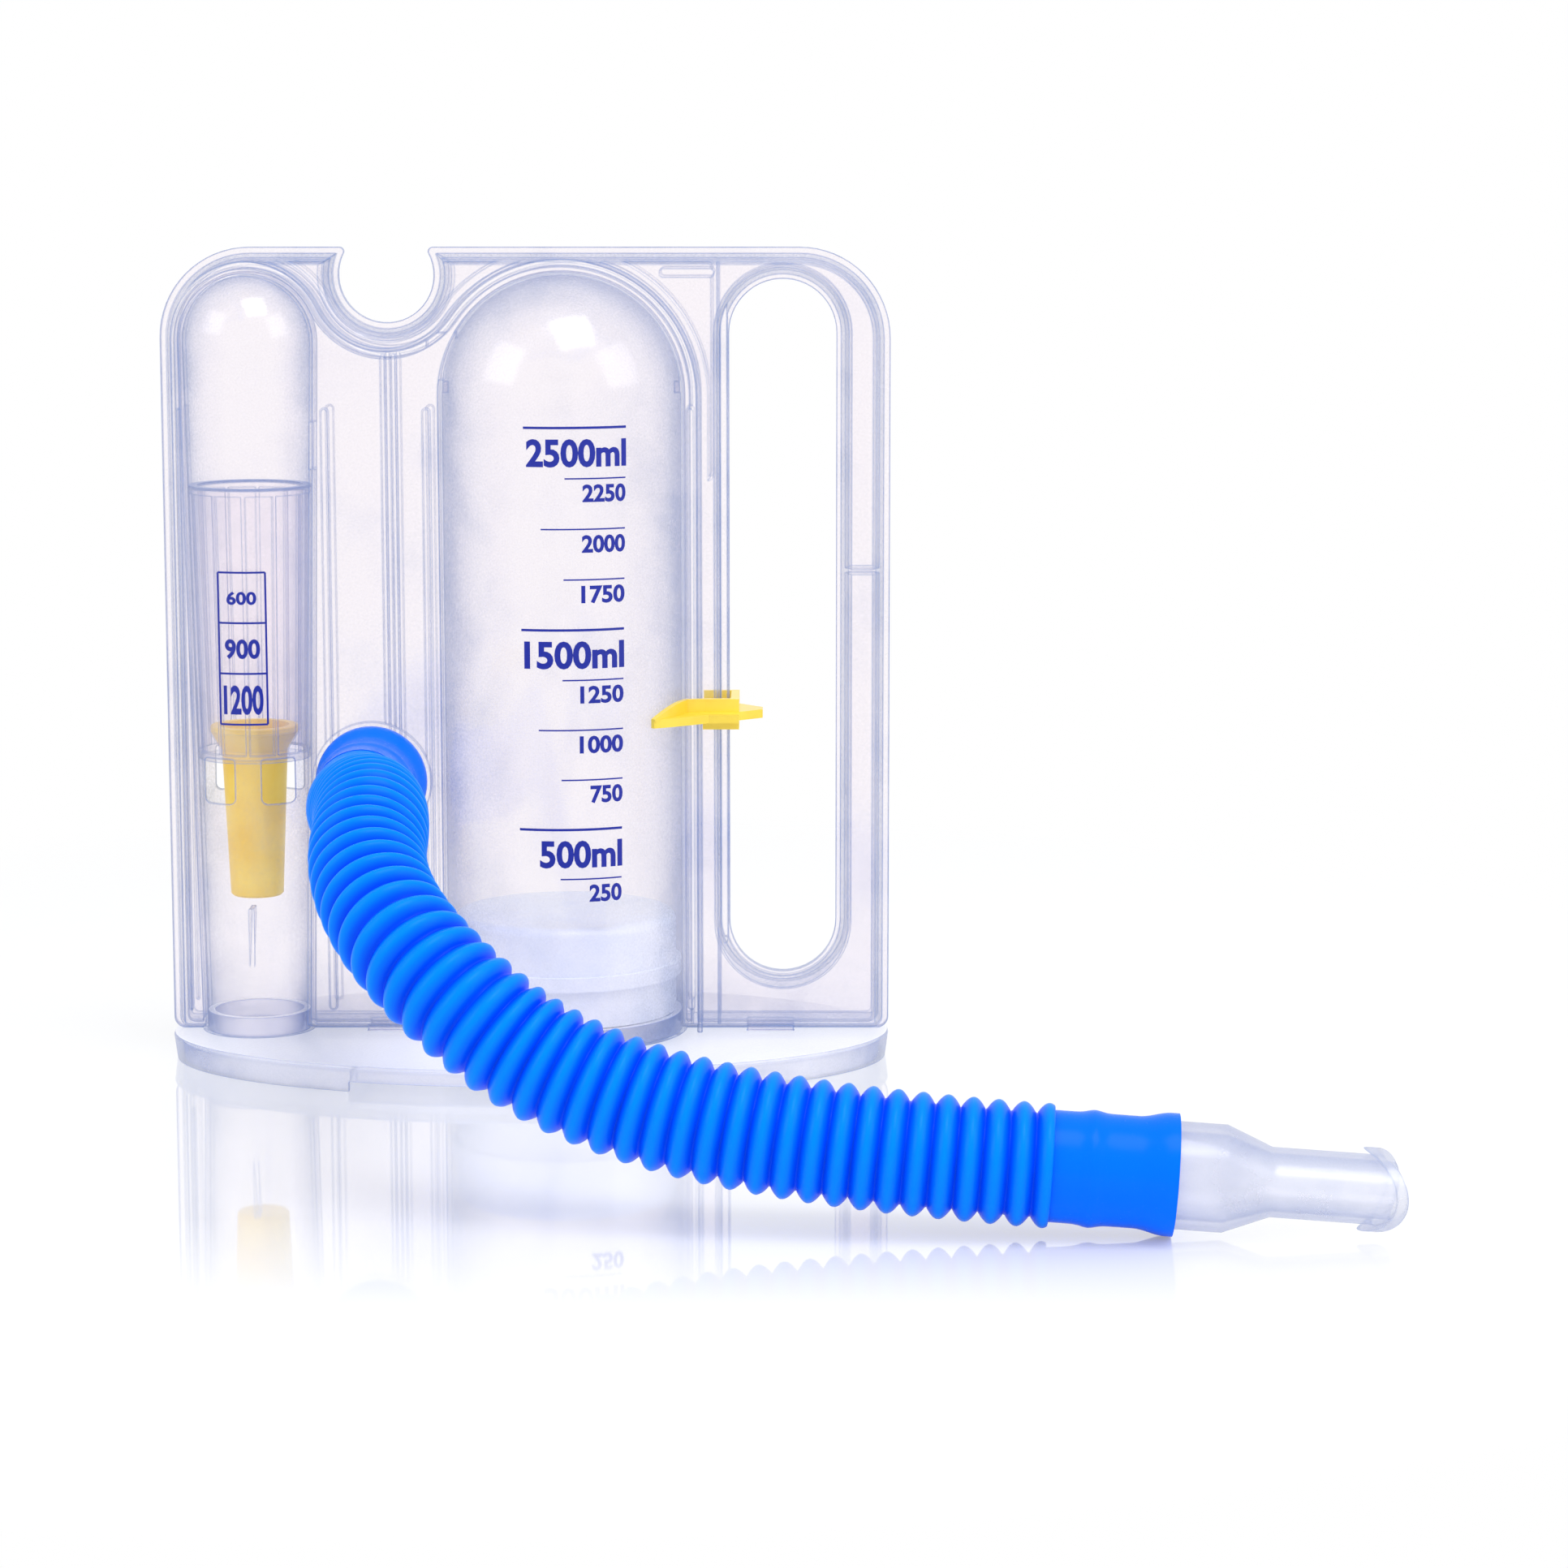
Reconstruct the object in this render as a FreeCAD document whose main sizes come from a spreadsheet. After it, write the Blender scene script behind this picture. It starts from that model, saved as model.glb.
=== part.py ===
import FreeCAD, Part
import math
import operator
import os
import Sketcher

# An incentive spirometer: a clear two-part housing on an oval foot, a wide chamber with a
# piston, a narrow chamber with a float, a goal pointer on the strip beside the handle, and a
# corrugated hose with a mouthpiece, lying in front of the foot.
# Millimetres. The origin is the middle of the foot's underside, X to the right, Y to the back.

SIZES = {
    # housing outline
    "body_width": 185.0,
    "body_top": 208.0,
    "head_radius": 23.0,
    "heel_radius": 0.8,
    "panel_depth": 6.5,
    "band_height": 0.6,
    "wall": 1.4,
    "flange_width": 1.3,
    "flange_half": 1.2,
    "draft_width": 2.2,
    # wide chamber
    "piston_axis_x": 9.0,
    "piston_chamber_radius": 31.5,
    "piston_chamber_wall": 1.3,
    "piston_dome_z": 170.6,
    # narrow chamber
    "float_axis_x": -70.5,
    "float_chamber_foot_radius": 14.6,
    "float_chamber_head_radius": 17.7,
    "float_chamber_wall": 1.3,
    "float_dome_z": 184.3,
    # notch that stores the hose
    "notch_x": -35.0,
    "notch_z": 201.0,
    "notch_radius": 12.0,
    "notch_lip": 1.2,
    "notch_mouth": 21.2,
    # raised weld band round the air space, as radii about the notch
    "band_inner_radius": 20.9,
    "band_outer_radius": 15.7,
    "ridge_radius": 18.6,
    "ridge_half_width": 0.65,
    "ridge_height": 0.45,
    "ridge_slope": 0.3,
    "weld_rib": 1.6,
    # handle
    "handle_x": 65.2,
    "hole_half_width": 13.6,
    "hole_bottom_z": 22.0,
    "hole_top_z": 200.0,
    "hole_lip": 0.9,
    "grip_web_z": 126.0,
    "grip_web": 1.2,
    "rail_x": 50.2,
    "rail_width": 1.8,
    "rail_half_depth": 5.0,
    "rail_bottom_z": 30.0,
    "rail_top_z": 194.0,
    # beads and ribs on the faces
    "bead_width": 2.5,
    "bead_height": 0.7,
    "bead_slope": 0.5,
    "bead_root": 0.3,
    "bead_bottom_z": 12.7,
    "bead_top_z": 168.0,
    "bead_left_x": -50.6,
    "bead_middle_x": -24.9,
    "bead_side_x": -87.3,
    "bead_side_width": 1.2,
    "divider_x": -34.3,
    "divider_rib": 1.8,
    "divider_gap": 0.9,
    "crease_x": 48.6,
    "crease_width": 0.5,
    "crease_depth": 0.3,
    "blank_plate_x": 41.0,
    "blank_plate_z": 201.7,
    "blank_plate_length": 13.7,
    "blank_plate_width": 2.2,
    "blank_plate_relief": 0.4,
    "corner_recess_top_z": 204.1,
    "corner_recess_bottom_z": 150.0,
    "corner_recess_margin": 1.6,
    "corner_recess_radius": 0.8,
    "recess_reach": 1.4,
    # air passages
    "window_near": 3.4,
    "window_far": 11.4,
    "window_bottom_z": 67.7,
    "window_top_z": 79.2,
    "window_corner": 1.6,
    "air_slot_half_depth": 3.6,
    "air_slot_height": 12.0,
    "float_slot_z": 152.0,
    "piston_slot_z": 174.5,
    "lug_z": 171.2,
    "lug_height": 3.0,
    "lug_reach": 1.6,
    "lug_half_depth": 1.5,
    # stop under the float
    "stop_width": 1.2,
    "stop_head_z": 40.5,
    "stop_tip_z": 24.0,
    "stop_reach": 7.0,
    # hose port
    "port_x": -39.8,
    "port_z": 72.7,
    "port_boss_radius": 15.2,
    "port_boss_height": 1.4,
    "cone_radius": 11.0,
    "cone_bore": 9.0,
    "cone_length": 16.0,
    "cone_draft": 0.25,
    # foot
    "foot_depth": 103.0,
    "foot_height": 7.0,
    "foot_draft": 0.8,
    "foot_edge": 1.0,
    "rim_wall": 2.0,
    "deck": 2.0,
    "ring_height": 5.0,
    "ring_wall": 1.6,
    "ring_clearance": 0.2,
    "air_inlet_radius": 10.0,
    "rim_arch_half_width": 43.0,
    "rim_arch_height": 2.5,
    "foot_rib": 1.4,
    "foot_rib_pitch": 42.0,
    "foot_rib_lift": 0.8,
    # tongues that snap the housing into the foot
    "tongue_width": 12.0,
    "tongue_thickness": 1.6,
    "tongue_offset": 3.2,
    "tongue_drop": 3.4,
    "tongue_clearance": 0.2,
    "tongue_left_x": -36.0,
    "tongue_right_x": 62.0,
    # fluted tube that guides the float
    "tube_bottom_z": 78.0,
    "tube_top_z": 148.0,
    "tube_wall": 1.5,
    "tube_foot_bore": 11.8,
    "tube_head_bore": 13.4,
    "tube_flange": 2.0,
    "tube_clearance": 0.15,
    "tube_rib": 1.0,
    "tube_rib_count": 12,
    "seat_bore": 8.8,
    "seat_rise": 5.0,
    # float
    "float_flange_radius": 11.2,
    "float_flange": 1.6,
    "float_clearance": 0.4,
    "float_bottom_z": 42.0,
    "float_bottom_radius": 6.75,
    "float_wall": 1.1,
    "float_lift": 40.0,
    # piston
    "piston_clearance": 0.25,
    "piston_rest_gap": 0.3,
    "piston_height": 25.6,
    "piston_crown_radius": 28.6,
    "piston_crown_fillet": 2.4,
    "piston_wall": 1.5,
    "piston_lip": 3.6,
    "piston_lip_rise": 9.7,
    # goal pointer
    "pointer_z": 90.6,
    "clip_clearance": 0.35,
    "clip_wall": 1.6,
    "clip_bridge": 2.1,
    "clip_left_x": 44.8,
    "clip_rise": 3.4,
    "clip_drop": 4.4,
    "blade_thickness": 2.2,
    "blade_reach": 4.4,
    "blade_gap": 0.6,
    "blade_tip_turn": 44.0,
    "thumb_tab": 6.0,
    # hose and its cuffs
    "hose_radius": 13.4,
    "hose_bore": 12.2,
    "hose_gap": 0.05,
    "cuff_length": 27.1,
    "cuff_radius": 12.1,
    "cuff_bore": 11.05,
    "cuff_neck": 2.4,
    "cuff_ring_radius": 12.8,
    "cuff_ring_start": 7.0,
    "cuff_ring_width": 3.2,
    "cuff_flare": 6.3,
    "port_flare_radius": 14.2,
    "mouth_flare_radius": 13.4,
    "port_seat_gap": 0.1,
    # mouthpiece
    "mouth_plug": 20.0,
    "mouth_bore_radius": 9.6,
    "shoulder_radius": 11.75,
    "shoulder_length": 10.6,
    "throat_length": 10.1,
    "mouth_length": 49.4,
    "mouth_half_width": 9.8,
    "mouth_half_height": 7.5,
    "mouth_wall": 1.3,
    "lip_rise": 1.5,
    "lip_width": 2.4,
    "nose_radius": 9.3,
}

# Points that the hose's route is drawn through, from the port cuff to the mouth cuff. The first
# point is worked out from the port, and the rest are set by hand from how the hose lies.
HOSE_ROUTE = (
    (-38.9, -60.0, 73.6),
    (-30.5, -98.0, 80.0),
    (-30.0, -136.0, 69.8),
    (-14.5, -164.0, 54.5),
    (17.8, -174.2, 30.8),
    (73.0, -182.0, 18.7),
    (123.5, -184.0, 15.4),
)

# Rotations that lay a piece drawn along +Z along another direction
UPRIGHT = FreeCAD.Rotation()
FORWARD = FreeCAD.Rotation(FreeCAD.Vector(1, 0, 0), 90)
BACKWARD = FreeCAD.Rotation(FreeCAD.Vector(1, 0, 0), -90)
SIDEWAYS = FreeCAD.Rotation(FreeCAD.Vector(0, 1, 0), 90)

doc = FreeCAD.newDocument("incentive_spirometer")


# Sizes and the sheet

class Size:
    """A number together with the sheet expression that gives it."""

    def __init__(self, value, text):
        self.value = value
        self.text = text

    def __add__(self, other):
        return joined(self, "+", other)

    def __radd__(self, other):
        return joined(other, "+", self)

    def __sub__(self, other):
        return joined(self, "-", other)

    def __rsub__(self, other):
        return joined(other, "-", self)

    def __mul__(self, other):
        return joined(self, "*", other)

    def __rmul__(self, other):
        return joined(other, "*", self)

    def __truediv__(self, other):
        return joined(self, "/", other)

    def __neg__(self):
        return joined(-1.0, "*", self)


SIGNS = {"+": operator.add, "-": operator.sub, "*": operator.mul, "/": operator.truediv}


def as_size(thing):
    """A plain number as a Size, and a Size as it is."""
    if isinstance(thing, Size):
        return thing
    return Size(float(thing), repr(float(thing)))


def joined(left, sign, right):
    """Two sizes joined by one arithmetic sign."""
    left = as_size(left)
    right = as_size(right)
    return Size(SIGNS[sign](left.value, right.value), "(%s %s %s)" % (left.text, sign, right.text))


def turn_of(rise, run):
    """The angle in degrees whose tangent is rise over run."""
    ratio = rise / run
    return Size(math.degrees(math.atan(ratio.value)), "atan(%s)" % ratio.text)


class SizeSheet:
    """The spreadsheet of driving sizes, read by name as sizes."""

    def __init__(self, values):
        self.sheet = doc.addObject("Spreadsheet::Sheet", "Sizes")
        self.values = values
        for row, (alias, value) in enumerate(values.items(), start=1):
            self.sheet.set("A%d" % row, alias)
            self.sheet.set("B%d" % row, str(value))
            self.sheet.setAlias("B%d" % row, alias)

    def __getattr__(self, alias):
        return Size(float(self.values[alias]), "Sizes." + alias)


s = SizeSheet(SIZES)
doc.recompute()


# Helpers that make one document object each

def bind(thing, name, size):
    """Bind one property to the sheet."""
    thing.setExpression(name, as_size(size).text)


def place(thing, at, turn=UPRIGHT):
    """Turn a thing and bind its place to the sheet."""
    thing.Placement = FreeCAD.Placement(FreeCAD.Vector(*[as_size(value).value for value in at]), turn)
    for axis, value in zip("xyz", at):
        if isinstance(value, Size):
            bind(thing, ".Placement.Base." + axis, value)
    return thing


def primitive(kind, name, at=(0, 0, 0), turn=UPRIGHT, **sizes):
    """One primitive solid or edge with its sizes bound."""
    thing = doc.addObject("Part::" + kind, name)
    for key, size in sizes.items():
        bind(thing, key, size)
    return place(thing, at, turn)


def box(name, low, high):
    """A box between two corners."""
    spans = [top - bottom for bottom, top in zip(low, high)]
    return primitive("Box", name, at=low, Length=spans[0], Width=spans[1], Height=spans[2])


def fuse(name, *things):
    """Several solids as one."""
    joint = doc.addObject("Part::MultiFuse", name)
    joint.Shapes = list(things)
    joint.Refine = True
    return joint


def cut(name, base, *tools):
    """A solid with others cut out of it."""
    tool = tools[0]
    if len(tools) > 1:
        tool = fuse(name + "_tools", *tools)
    rest = doc.addObject("Part::Cut", name)
    rest.Base = base
    rest.Tool = tool
    rest.Refine = True
    return rest


def shared(name, *things):
    """What several solids have in common."""
    overlap = doc.addObject("Part::MultiCommon", name)
    overlap.Shapes = list(things)
    return overlap


def feature(name, shape):
    """A shape worked out in code, for forms that no primitive or sketch gives."""
    thing = doc.addObject("Part::Feature", name)
    thing.Shape = shape
    return thing


def standing_sketch(name, depth=0.0):
    """A free sketch parallel to the parting plane, in front of it by depth: its x is X, its y
    is Z and its normal is -Y."""
    sketch = doc.addObject("Sketcher::SketchObject", name)
    return place(sketch, (0, -depth, 0), FORWARD)


def pin_point(sketch, geometry, point, x=None, y=None):
    """Bind a point's distances from the sketch's origin."""
    for kind, axis, value in (("DistanceX", -2, x), ("DistanceY", -1, y)):
        if value is None:
            continue
        if as_size(value).value == 0.0:
            sketch.addConstraint(Sketcher.Constraint("PointOnObject", geometry, point, axis))
            continue
        number = as_size(value).value
        index = sketch.addConstraint(Sketcher.Constraint(kind, -1, 1, geometry, point, number))
        bind(sketch, "Constraints[%d]" % index, value)


def pin_radius(sketch, geometry, radius):
    """Bind an arc's or a circle's radius."""
    index = sketch.addConstraint(Sketcher.Constraint("Radius", geometry, radius.value))
    bind(sketch, "Constraints[%d]" % index, radius)


def draw_polygon(sketch, corners):
    """A closed outline of straight edges, each corner bound to the sheet."""
    points = [FreeCAD.Vector(as_size(x).value, as_size(y).value, 0) for x, y in corners]
    count = len(points)
    for index, point in enumerate(points):
        sketch.addGeometry(Part.LineSegment(point, points[(index + 1) % count]))
    for index in range(count):
        sketch.addConstraint(Sketcher.Constraint("Coincident", index, 2, (index + 1) % count, 1))
    for index, (x, y) in enumerate(corners):
        pin_point(sketch, index, 1, x, y)
    return sketch


def draw_slot(sketch, x, low, high, half_width):
    """An upright slot with round ends, from its lowest to its highest point."""
    middle = as_size(x).value
    radius = half_width.value
    bottom = (low + half_width).value
    top = (high - half_width).value
    vector = FreeCAD.Vector
    up = vector(0, 0, 1)
    sketch.addGeometry(Part.LineSegment(vector(middle + radius, bottom, 0), vector(middle + radius, top, 0)))
    sketch.addGeometry(Part.ArcOfCircle(Part.Circle(vector(middle, top, 0), up, radius), 0, math.pi))
    sketch.addGeometry(Part.LineSegment(vector(middle - radius, top, 0), vector(middle - radius, bottom, 0)))
    sketch.addGeometry(
        Part.ArcOfCircle(Part.Circle(vector(middle, bottom, 0), up, radius), math.pi, 2 * math.pi))
    for line, line_end, arc, arc_end in ((0, 2, 1, 1), (2, 1, 1, 2), (2, 2, 3, 1), (0, 1, 3, 2)):
        sketch.addConstraint(Sketcher.Constraint("Tangent", line, line_end, arc, arc_end))
    sketch.addConstraint(Sketcher.Constraint("Vertical", 0))
    sketch.addConstraint(Sketcher.Constraint("Vertical", 2))
    pin_radius(sketch, 1, half_width)
    pin_point(sketch, 1, 3, x, high - half_width)
    pin_point(sketch, 3, 3, None, low + half_width)
    return sketch


def draw_slab(sketch, left, right, bottom, top, heel, head):
    """An upright rectangle, its two lower corners rounded by heel and its upper ones by head."""
    vector = FreeCAD.Vector
    up = vector(0, 0, 1)
    x0, x1, z0, z1 = (as_size(value).value for value in (left, right, bottom, top))
    low, high = heel.value, head.value
    sketch.addGeometry(Part.LineSegment(vector(x0 + low, z0, 0), vector(x1 - low, z0, 0)))
    sketch.addGeometry(Part.LineSegment(vector(x1, z0 + low, 0), vector(x1, z1 - high, 0)))
    sketch.addGeometry(Part.LineSegment(vector(x1 - high, z1, 0), vector(x0 + high, z1, 0)))
    sketch.addGeometry(Part.LineSegment(vector(x0, z1 - high, 0), vector(x0, z0 + low, 0)))
    corners = (
        (x1 - low, z0 + low, low, 1.5),
        (x1 - high, z1 - high, high, 0.0),
        (x0 + high, z1 - high, high, 0.5),
        (x0 + low, z0 + low, low, 1.0),
    )
    for x, z, radius, start in corners:
        circle = Part.Circle(vector(x, z, 0), up, radius)
        sketch.addGeometry(Part.ArcOfCircle(circle, start * math.pi, (start + 0.5) * math.pi))
    for side in range(4):
        arc = 4 + side
        following = (side + 1) % 4
        sketch.addConstraint(Sketcher.Constraint("Tangent", side, 2, arc, 1))
        sketch.addConstraint(Sketcher.Constraint("Tangent", following, 1, arc, 2))
    for side, kind in enumerate(("Horizontal", "Vertical", "Horizontal", "Vertical")):
        sketch.addConstraint(Sketcher.Constraint(kind, side))
    for arc, radius in ((4, heel), (5, head), (6, head), (7, heel)):
        pin_radius(sketch, arc, radius)
    pin_point(sketch, 0, 1, None, bottom)
    pin_point(sketch, 1, 1, right, None)
    pin_point(sketch, 2, 1, None, top)
    pin_point(sketch, 3, 1, left, None)
    return sketch


def both_ways(name, sketch, depth, taper=None):
    """A sketch on the parting plane carried to the front and to the back, widened by taper."""
    block = doc.addObject("Part::Extrusion", name)
    block.Base = sketch
    block.DirMode = "Normal"
    block.Solid = True
    bind(block, "LengthFwd", depth)
    bind(block, "LengthRev", depth)
    if taper is not None:
        bind(block, "TaperAngle", taper)
        bind(block, "TaperAngleRev", taper)
    return block


def forward(name, sketch, depth, taper=None):
    """A sketch carried to the front only, narrowed by taper."""
    block = doc.addObject("Part::Extrusion", name)
    block.Base = sketch
    block.DirMode = "Normal"
    block.Solid = True
    bind(block, "LengthFwd", depth)
    if taper is not None:
        bind(block, "TaperAngle", taper)
    return block


def on_both_faces(name, thing):
    """A front detail together with its mirror image on the rear face."""
    image = doc.addObject("Part::Mirroring", name + "_rear")
    image.Source = thing
    image.Normal = (0, 1, 0)
    return fuse(name, thing, image)


def body(name):
    """An empty body with its label."""
    part = doc.addObject("PartDesign::Body", name)
    part.Label = name
    return part


def body_sketch(part, role, name):
    """A sketch on one of a body's own origin planes."""
    plane = [item for item in part.Origin.OriginFeatures if item.Role == role][0]
    sketch = part.newObject("Sketcher::SketchObject", name)
    sketch.AttachmentSupport = [(plane, "")]
    sketch.MapMode = "FlatFace"
    return sketch


def turned(name, corners, kind="Revolution"):
    """A body turned about its own Z axis from a profile of radius and height."""
    part = body(name)
    add_turned(part, name, corners, kind)
    return part


def add_turned(part, name, corners, kind="Revolution"):
    """One turned feature of a body: solid for a Revolution, cut away for a Groove."""
    profile = body_sketch(part, "XZ_Plane", name + "_profile")
    draw_polygon(profile, corners)
    spin = part.newObject("PartDesign::" + kind, name + "_turned")
    spin.Profile = profile
    spin.ReferenceAxis = (profile, ["V_Axis"])
    spin.Angle = 360.0
    profile.Visibility = False
    return spin


# Shapes that several pieces share

def half_chord(radius, height):
    """Half the chord of a circle at a height above its centre."""
    return math.sqrt(radius * radius - height * height)


def air_outline(band_radius, bottom):
    """The outline of the air space: up the left, over the narrow dome, under the notch, over
    the wide dome and down the right. Its arcs touch each other, so one radius about the notch
    gives all three."""
    float_dome = FreeCAD.Vector(s.float_axis_x.value, 0, s.float_dome_z.value)
    notch = FreeCAD.Vector(s.notch_x.value, 0, s.notch_z.value)
    piston_dome = FreeCAD.Vector(s.piston_axis_x.value, 0, s.piston_dome_z.value)

    def rim(centre, radius, degrees):
        turn = math.radians(degrees)
        return centre + FreeCAD.Vector(radius * math.cos(turn), 0, radius * math.sin(turn))

    def heading(start, end):
        return math.degrees(math.atan2(end.z - start.z, end.x - start.x))

    left_radius = (notch - float_dome).Length - band_radius
    right_radius = (notch - piston_dome).Length - band_radius
    left_turn = heading(float_dome, notch)
    right_turn = heading(piston_dome, notch)
    arcs = (
        (float_dome, left_radius, 180.0, left_turn),
        (notch, band_radius, left_turn + 180.0, right_turn + 180.0),
        (piston_dome, right_radius, right_turn, 0.0),
    )
    edges = []
    for centre, radius, start, end in arcs:
        middle = rim(centre, radius, (start + end) / 2)
        edges.append(Part.Arc(rim(centre, radius, start), middle, rim(centre, radius, end)).toShape())
    first = rim(float_dome, left_radius, 180.0)
    last = rim(piston_dome, right_radius, 0.0)
    low_left = FreeCAD.Vector(first.x, 0, bottom)
    low_right = FreeCAD.Vector(last.x, 0, bottom)
    edges.append(Part.LineSegment(last, low_right).toShape())
    edges.append(Part.LineSegment(low_right, low_left).toShape())
    edges.append(Part.LineSegment(low_left, first).toShape())
    return Part.Wire(edges)


def air_block(name, band_radius, bottom, depth):
    """The air outline as a block, equally deep to the front and to the back."""
    face = Part.Face(air_outline(band_radius.value, bottom.value))
    face.translate(FreeCAD.Vector(0, -depth.value, 0))
    return feature(name, face.extrude(FreeCAD.Vector(0, 2 * depth.value, 0)))


def air_funnel(name, bottom, near, far):
    """The air outline as a block whose sides slope: near and far are each a band radius and
    the depth in front of the parting plane where the outline has it."""
    wires = []
    for band_radius, depth in (near, far):
        wire = air_outline(band_radius.value, bottom.value)
        wire.translate(FreeCAD.Vector(0, -depth.value, 0))
        wires.append(wire)
    return feature(name, Part.makeLoft(wires, True, True))


def float_chamber_radius(height):
    """The narrow chamber's outer radius at a height: it widens evenly from foot to dome."""
    slope = (s.float_chamber_head_radius - s.float_chamber_foot_radius) / (s.float_dome_z - s.foot_height)
    return s.float_chamber_foot_radius + slope * (height - s.foot_height)


def float_chamber(name, inset, bottom):
    """The narrow chamber as a solid: a slightly tapered column under a round dome."""
    foot_radius = float_chamber_radius(bottom) - inset
    head_radius = s.float_chamber_head_radius - inset
    column = primitive("Cone", name + "_column", at=(s.float_axis_x, 0, bottom),
                       Radius1=foot_radius, Radius2=head_radius, Height=s.float_dome_z - bottom)
    dome = primitive("Sphere", name + "_dome", at=(s.float_axis_x, 0, s.float_dome_z), Radius=head_radius)
    return fuse(name, column, dome)


def piston_chamber(name, inset, bottom):
    """The wide chamber as a solid: a straight column under a round dome."""
    radius = s.piston_chamber_radius - inset
    column = primitive("Cylinder", name + "_column", at=(s.piston_axis_x, 0, bottom),
                       Radius=radius, Height=s.piston_dome_z - bottom)
    dome = primitive("Sphere", name + "_dome", at=(s.piston_axis_x, 0, s.piston_dome_z), Radius=radius)
    return fuse(name, column, dome)


# Housing: made whole, hollowed, then split on its parting plane

face_depth = s.panel_depth + s.band_height
inner_depth = s.panel_depth - s.wall
draft = turn_of(s.draft_width, face_depth)
half_width = s.body_width / 2
beyond = 5.0


def housing_envelope(name, inset, depth, bottom, slope=None):
    """The drafted slab of both halves, drawn in from the flange by inset."""
    sketch = standing_sketch(name + "_outline")
    draw_slab(sketch, inset - half_width, half_width - inset, bottom, s.body_top - inset,
              s.heel_radius + s.draft_width, s.head_radius - inset)
    return both_ways(name, sketch, depth, -draft if slope is None else None)


def hole_block(name, growth, depth, taper=None):
    """The handle's hole as a block, wider by growth than the hand's clear space."""
    sketch = draw_slot(standing_sketch(name + "_outline"), s.handle_x, s.hole_bottom_z - growth,
                       s.hole_top_z + growth, s.hole_half_width + growth)
    return both_ways(name, sketch, depth, taper)


def notch_cone(name, growth, depth, slope):
    """The notch as two cones that widen from the parting plane to the faces."""
    sides = []
    for side, turn in (("front", FORWARD), ("rear", BACKWARD)):
        sides.append(primitive("Cone", "%s_%s" % (name, side), at=(s.notch_x, 0, s.notch_z), turn=turn,
                               Radius1=s.notch_radius + growth,
                               Radius2=s.notch_radius + growth + slope, Height=depth))
    return fuse(name, *sides)


def flange():
    """The thin flat flange on which the halves are welded, cut by the hole and the notch."""
    sketch = standing_sketch("flange_outline")
    draw_slab(sketch, -half_width, half_width, s.foot_height, s.body_top,
              s.heel_radius + s.draft_width, s.head_radius)
    plate = both_ways("flange_plate", sketch, s.flange_half)
    notch = primitive("Cylinder", "flange_notch", at=(s.notch_x, beyond, s.notch_z), turn=FORWARD,
                      Radius=s.notch_radius, Height=2 * beyond)
    mouth_z = s.notch_z + half_chord(s.notch_radius.value, s.notch_mouth.value / 2)
    mouth = box("flange_mouth", (s.notch_x - s.notch_mouth / 2, -beyond, mouth_z),
                (s.notch_x + s.notch_mouth / 2, beyond, s.body_top + beyond))
    lips = []
    for name, side in (("left", -1), ("right", 1)):
        edge = s.notch_x + side * s.notch_mouth / 2
        centre = edge + side * s.notch_lip
        low = edge if side > 0 else centre
        corner = box("notch_corner_" + name, (low, -beyond, s.body_top - s.notch_lip),
                     (low + s.notch_lip, beyond, s.body_top + beyond))
        rounding = primitive("Cylinder", "notch_rounding_" + name, turn=FORWARD,
                             at=(centre, beyond, s.body_top - s.notch_lip),
                             Radius=s.notch_lip, Height=2 * beyond)
        lips.append(cut("notch_lip_" + name, corner, rounding))
    return cut("flange", plate, notch, mouth, hole_block("flange_hole", 0, s.flange_half), *lips)


def drafted_slab():
    """The drafted box between the flanges, cut by the hole and the notch."""
    block = housing_envelope("slab_block", s.flange_width, face_depth, s.foot_height)
    notch = notch_cone("slab_notch", s.flange_width, face_depth, s.draft_width)
    return cut("slab", block, notch, hole_block("slab_hole", s.hole_lip, face_depth, draft))


def face_recesses(float_block, piston_block):
    """The shallow recesses with sloping edges that leave the weld band and the top rib
    standing on both faces."""
    floor = s.panel_depth
    over = s.panel_depth + s.recess_reach
    space = air_funnel("air_recess", s.foot_height, (s.band_inner_radius, floor),
                       (s.band_inner_radius - s.recess_reach, over))
    outline = standing_sketch("corner_recess_outline", floor)
    draw_slab(outline, s.float_axis_x, s.crease_x - s.corner_recess_margin, s.corner_recess_bottom_z,
              s.corner_recess_top_z, s.corner_recess_radius, s.corner_recess_radius)
    block = forward("corner_recess_block", outline, s.recess_reach, Size(45.0, "45"))
    band = air_funnel("corner_recess_band", s.foot_height, (s.band_outer_radius, floor),
                      (s.band_outer_radius + s.recess_reach, over))
    ring_radius = s.notch_radius + s.flange_width + s.draft_width + s.corner_recess_margin
    ring = primitive("Cone", "corner_recess_ring", at=(s.notch_x, -floor, s.notch_z), turn=FORWARD,
                     Radius1=ring_radius, Radius2=ring_radius - s.recess_reach, Height=s.recess_reach)
    corners = cut("corner_recess", block, band, ring)
    pair = on_both_faces("recess_pair", fuse("recess_blocks", space, corners))
    return cut("face_recesses", pair, float_block, piston_block)


def bead(name, x, low, high, half, height, base):
    """A round-ended bead with sloping sides, standing on a face that lies at base."""
    sketch = draw_slot(standing_sketch(name + "_outline", base - s.bead_root), x, low, high, half)
    return forward(name, sketch, s.bead_root + height, -turn_of(s.bead_slope, s.bead_root + height))


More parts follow.
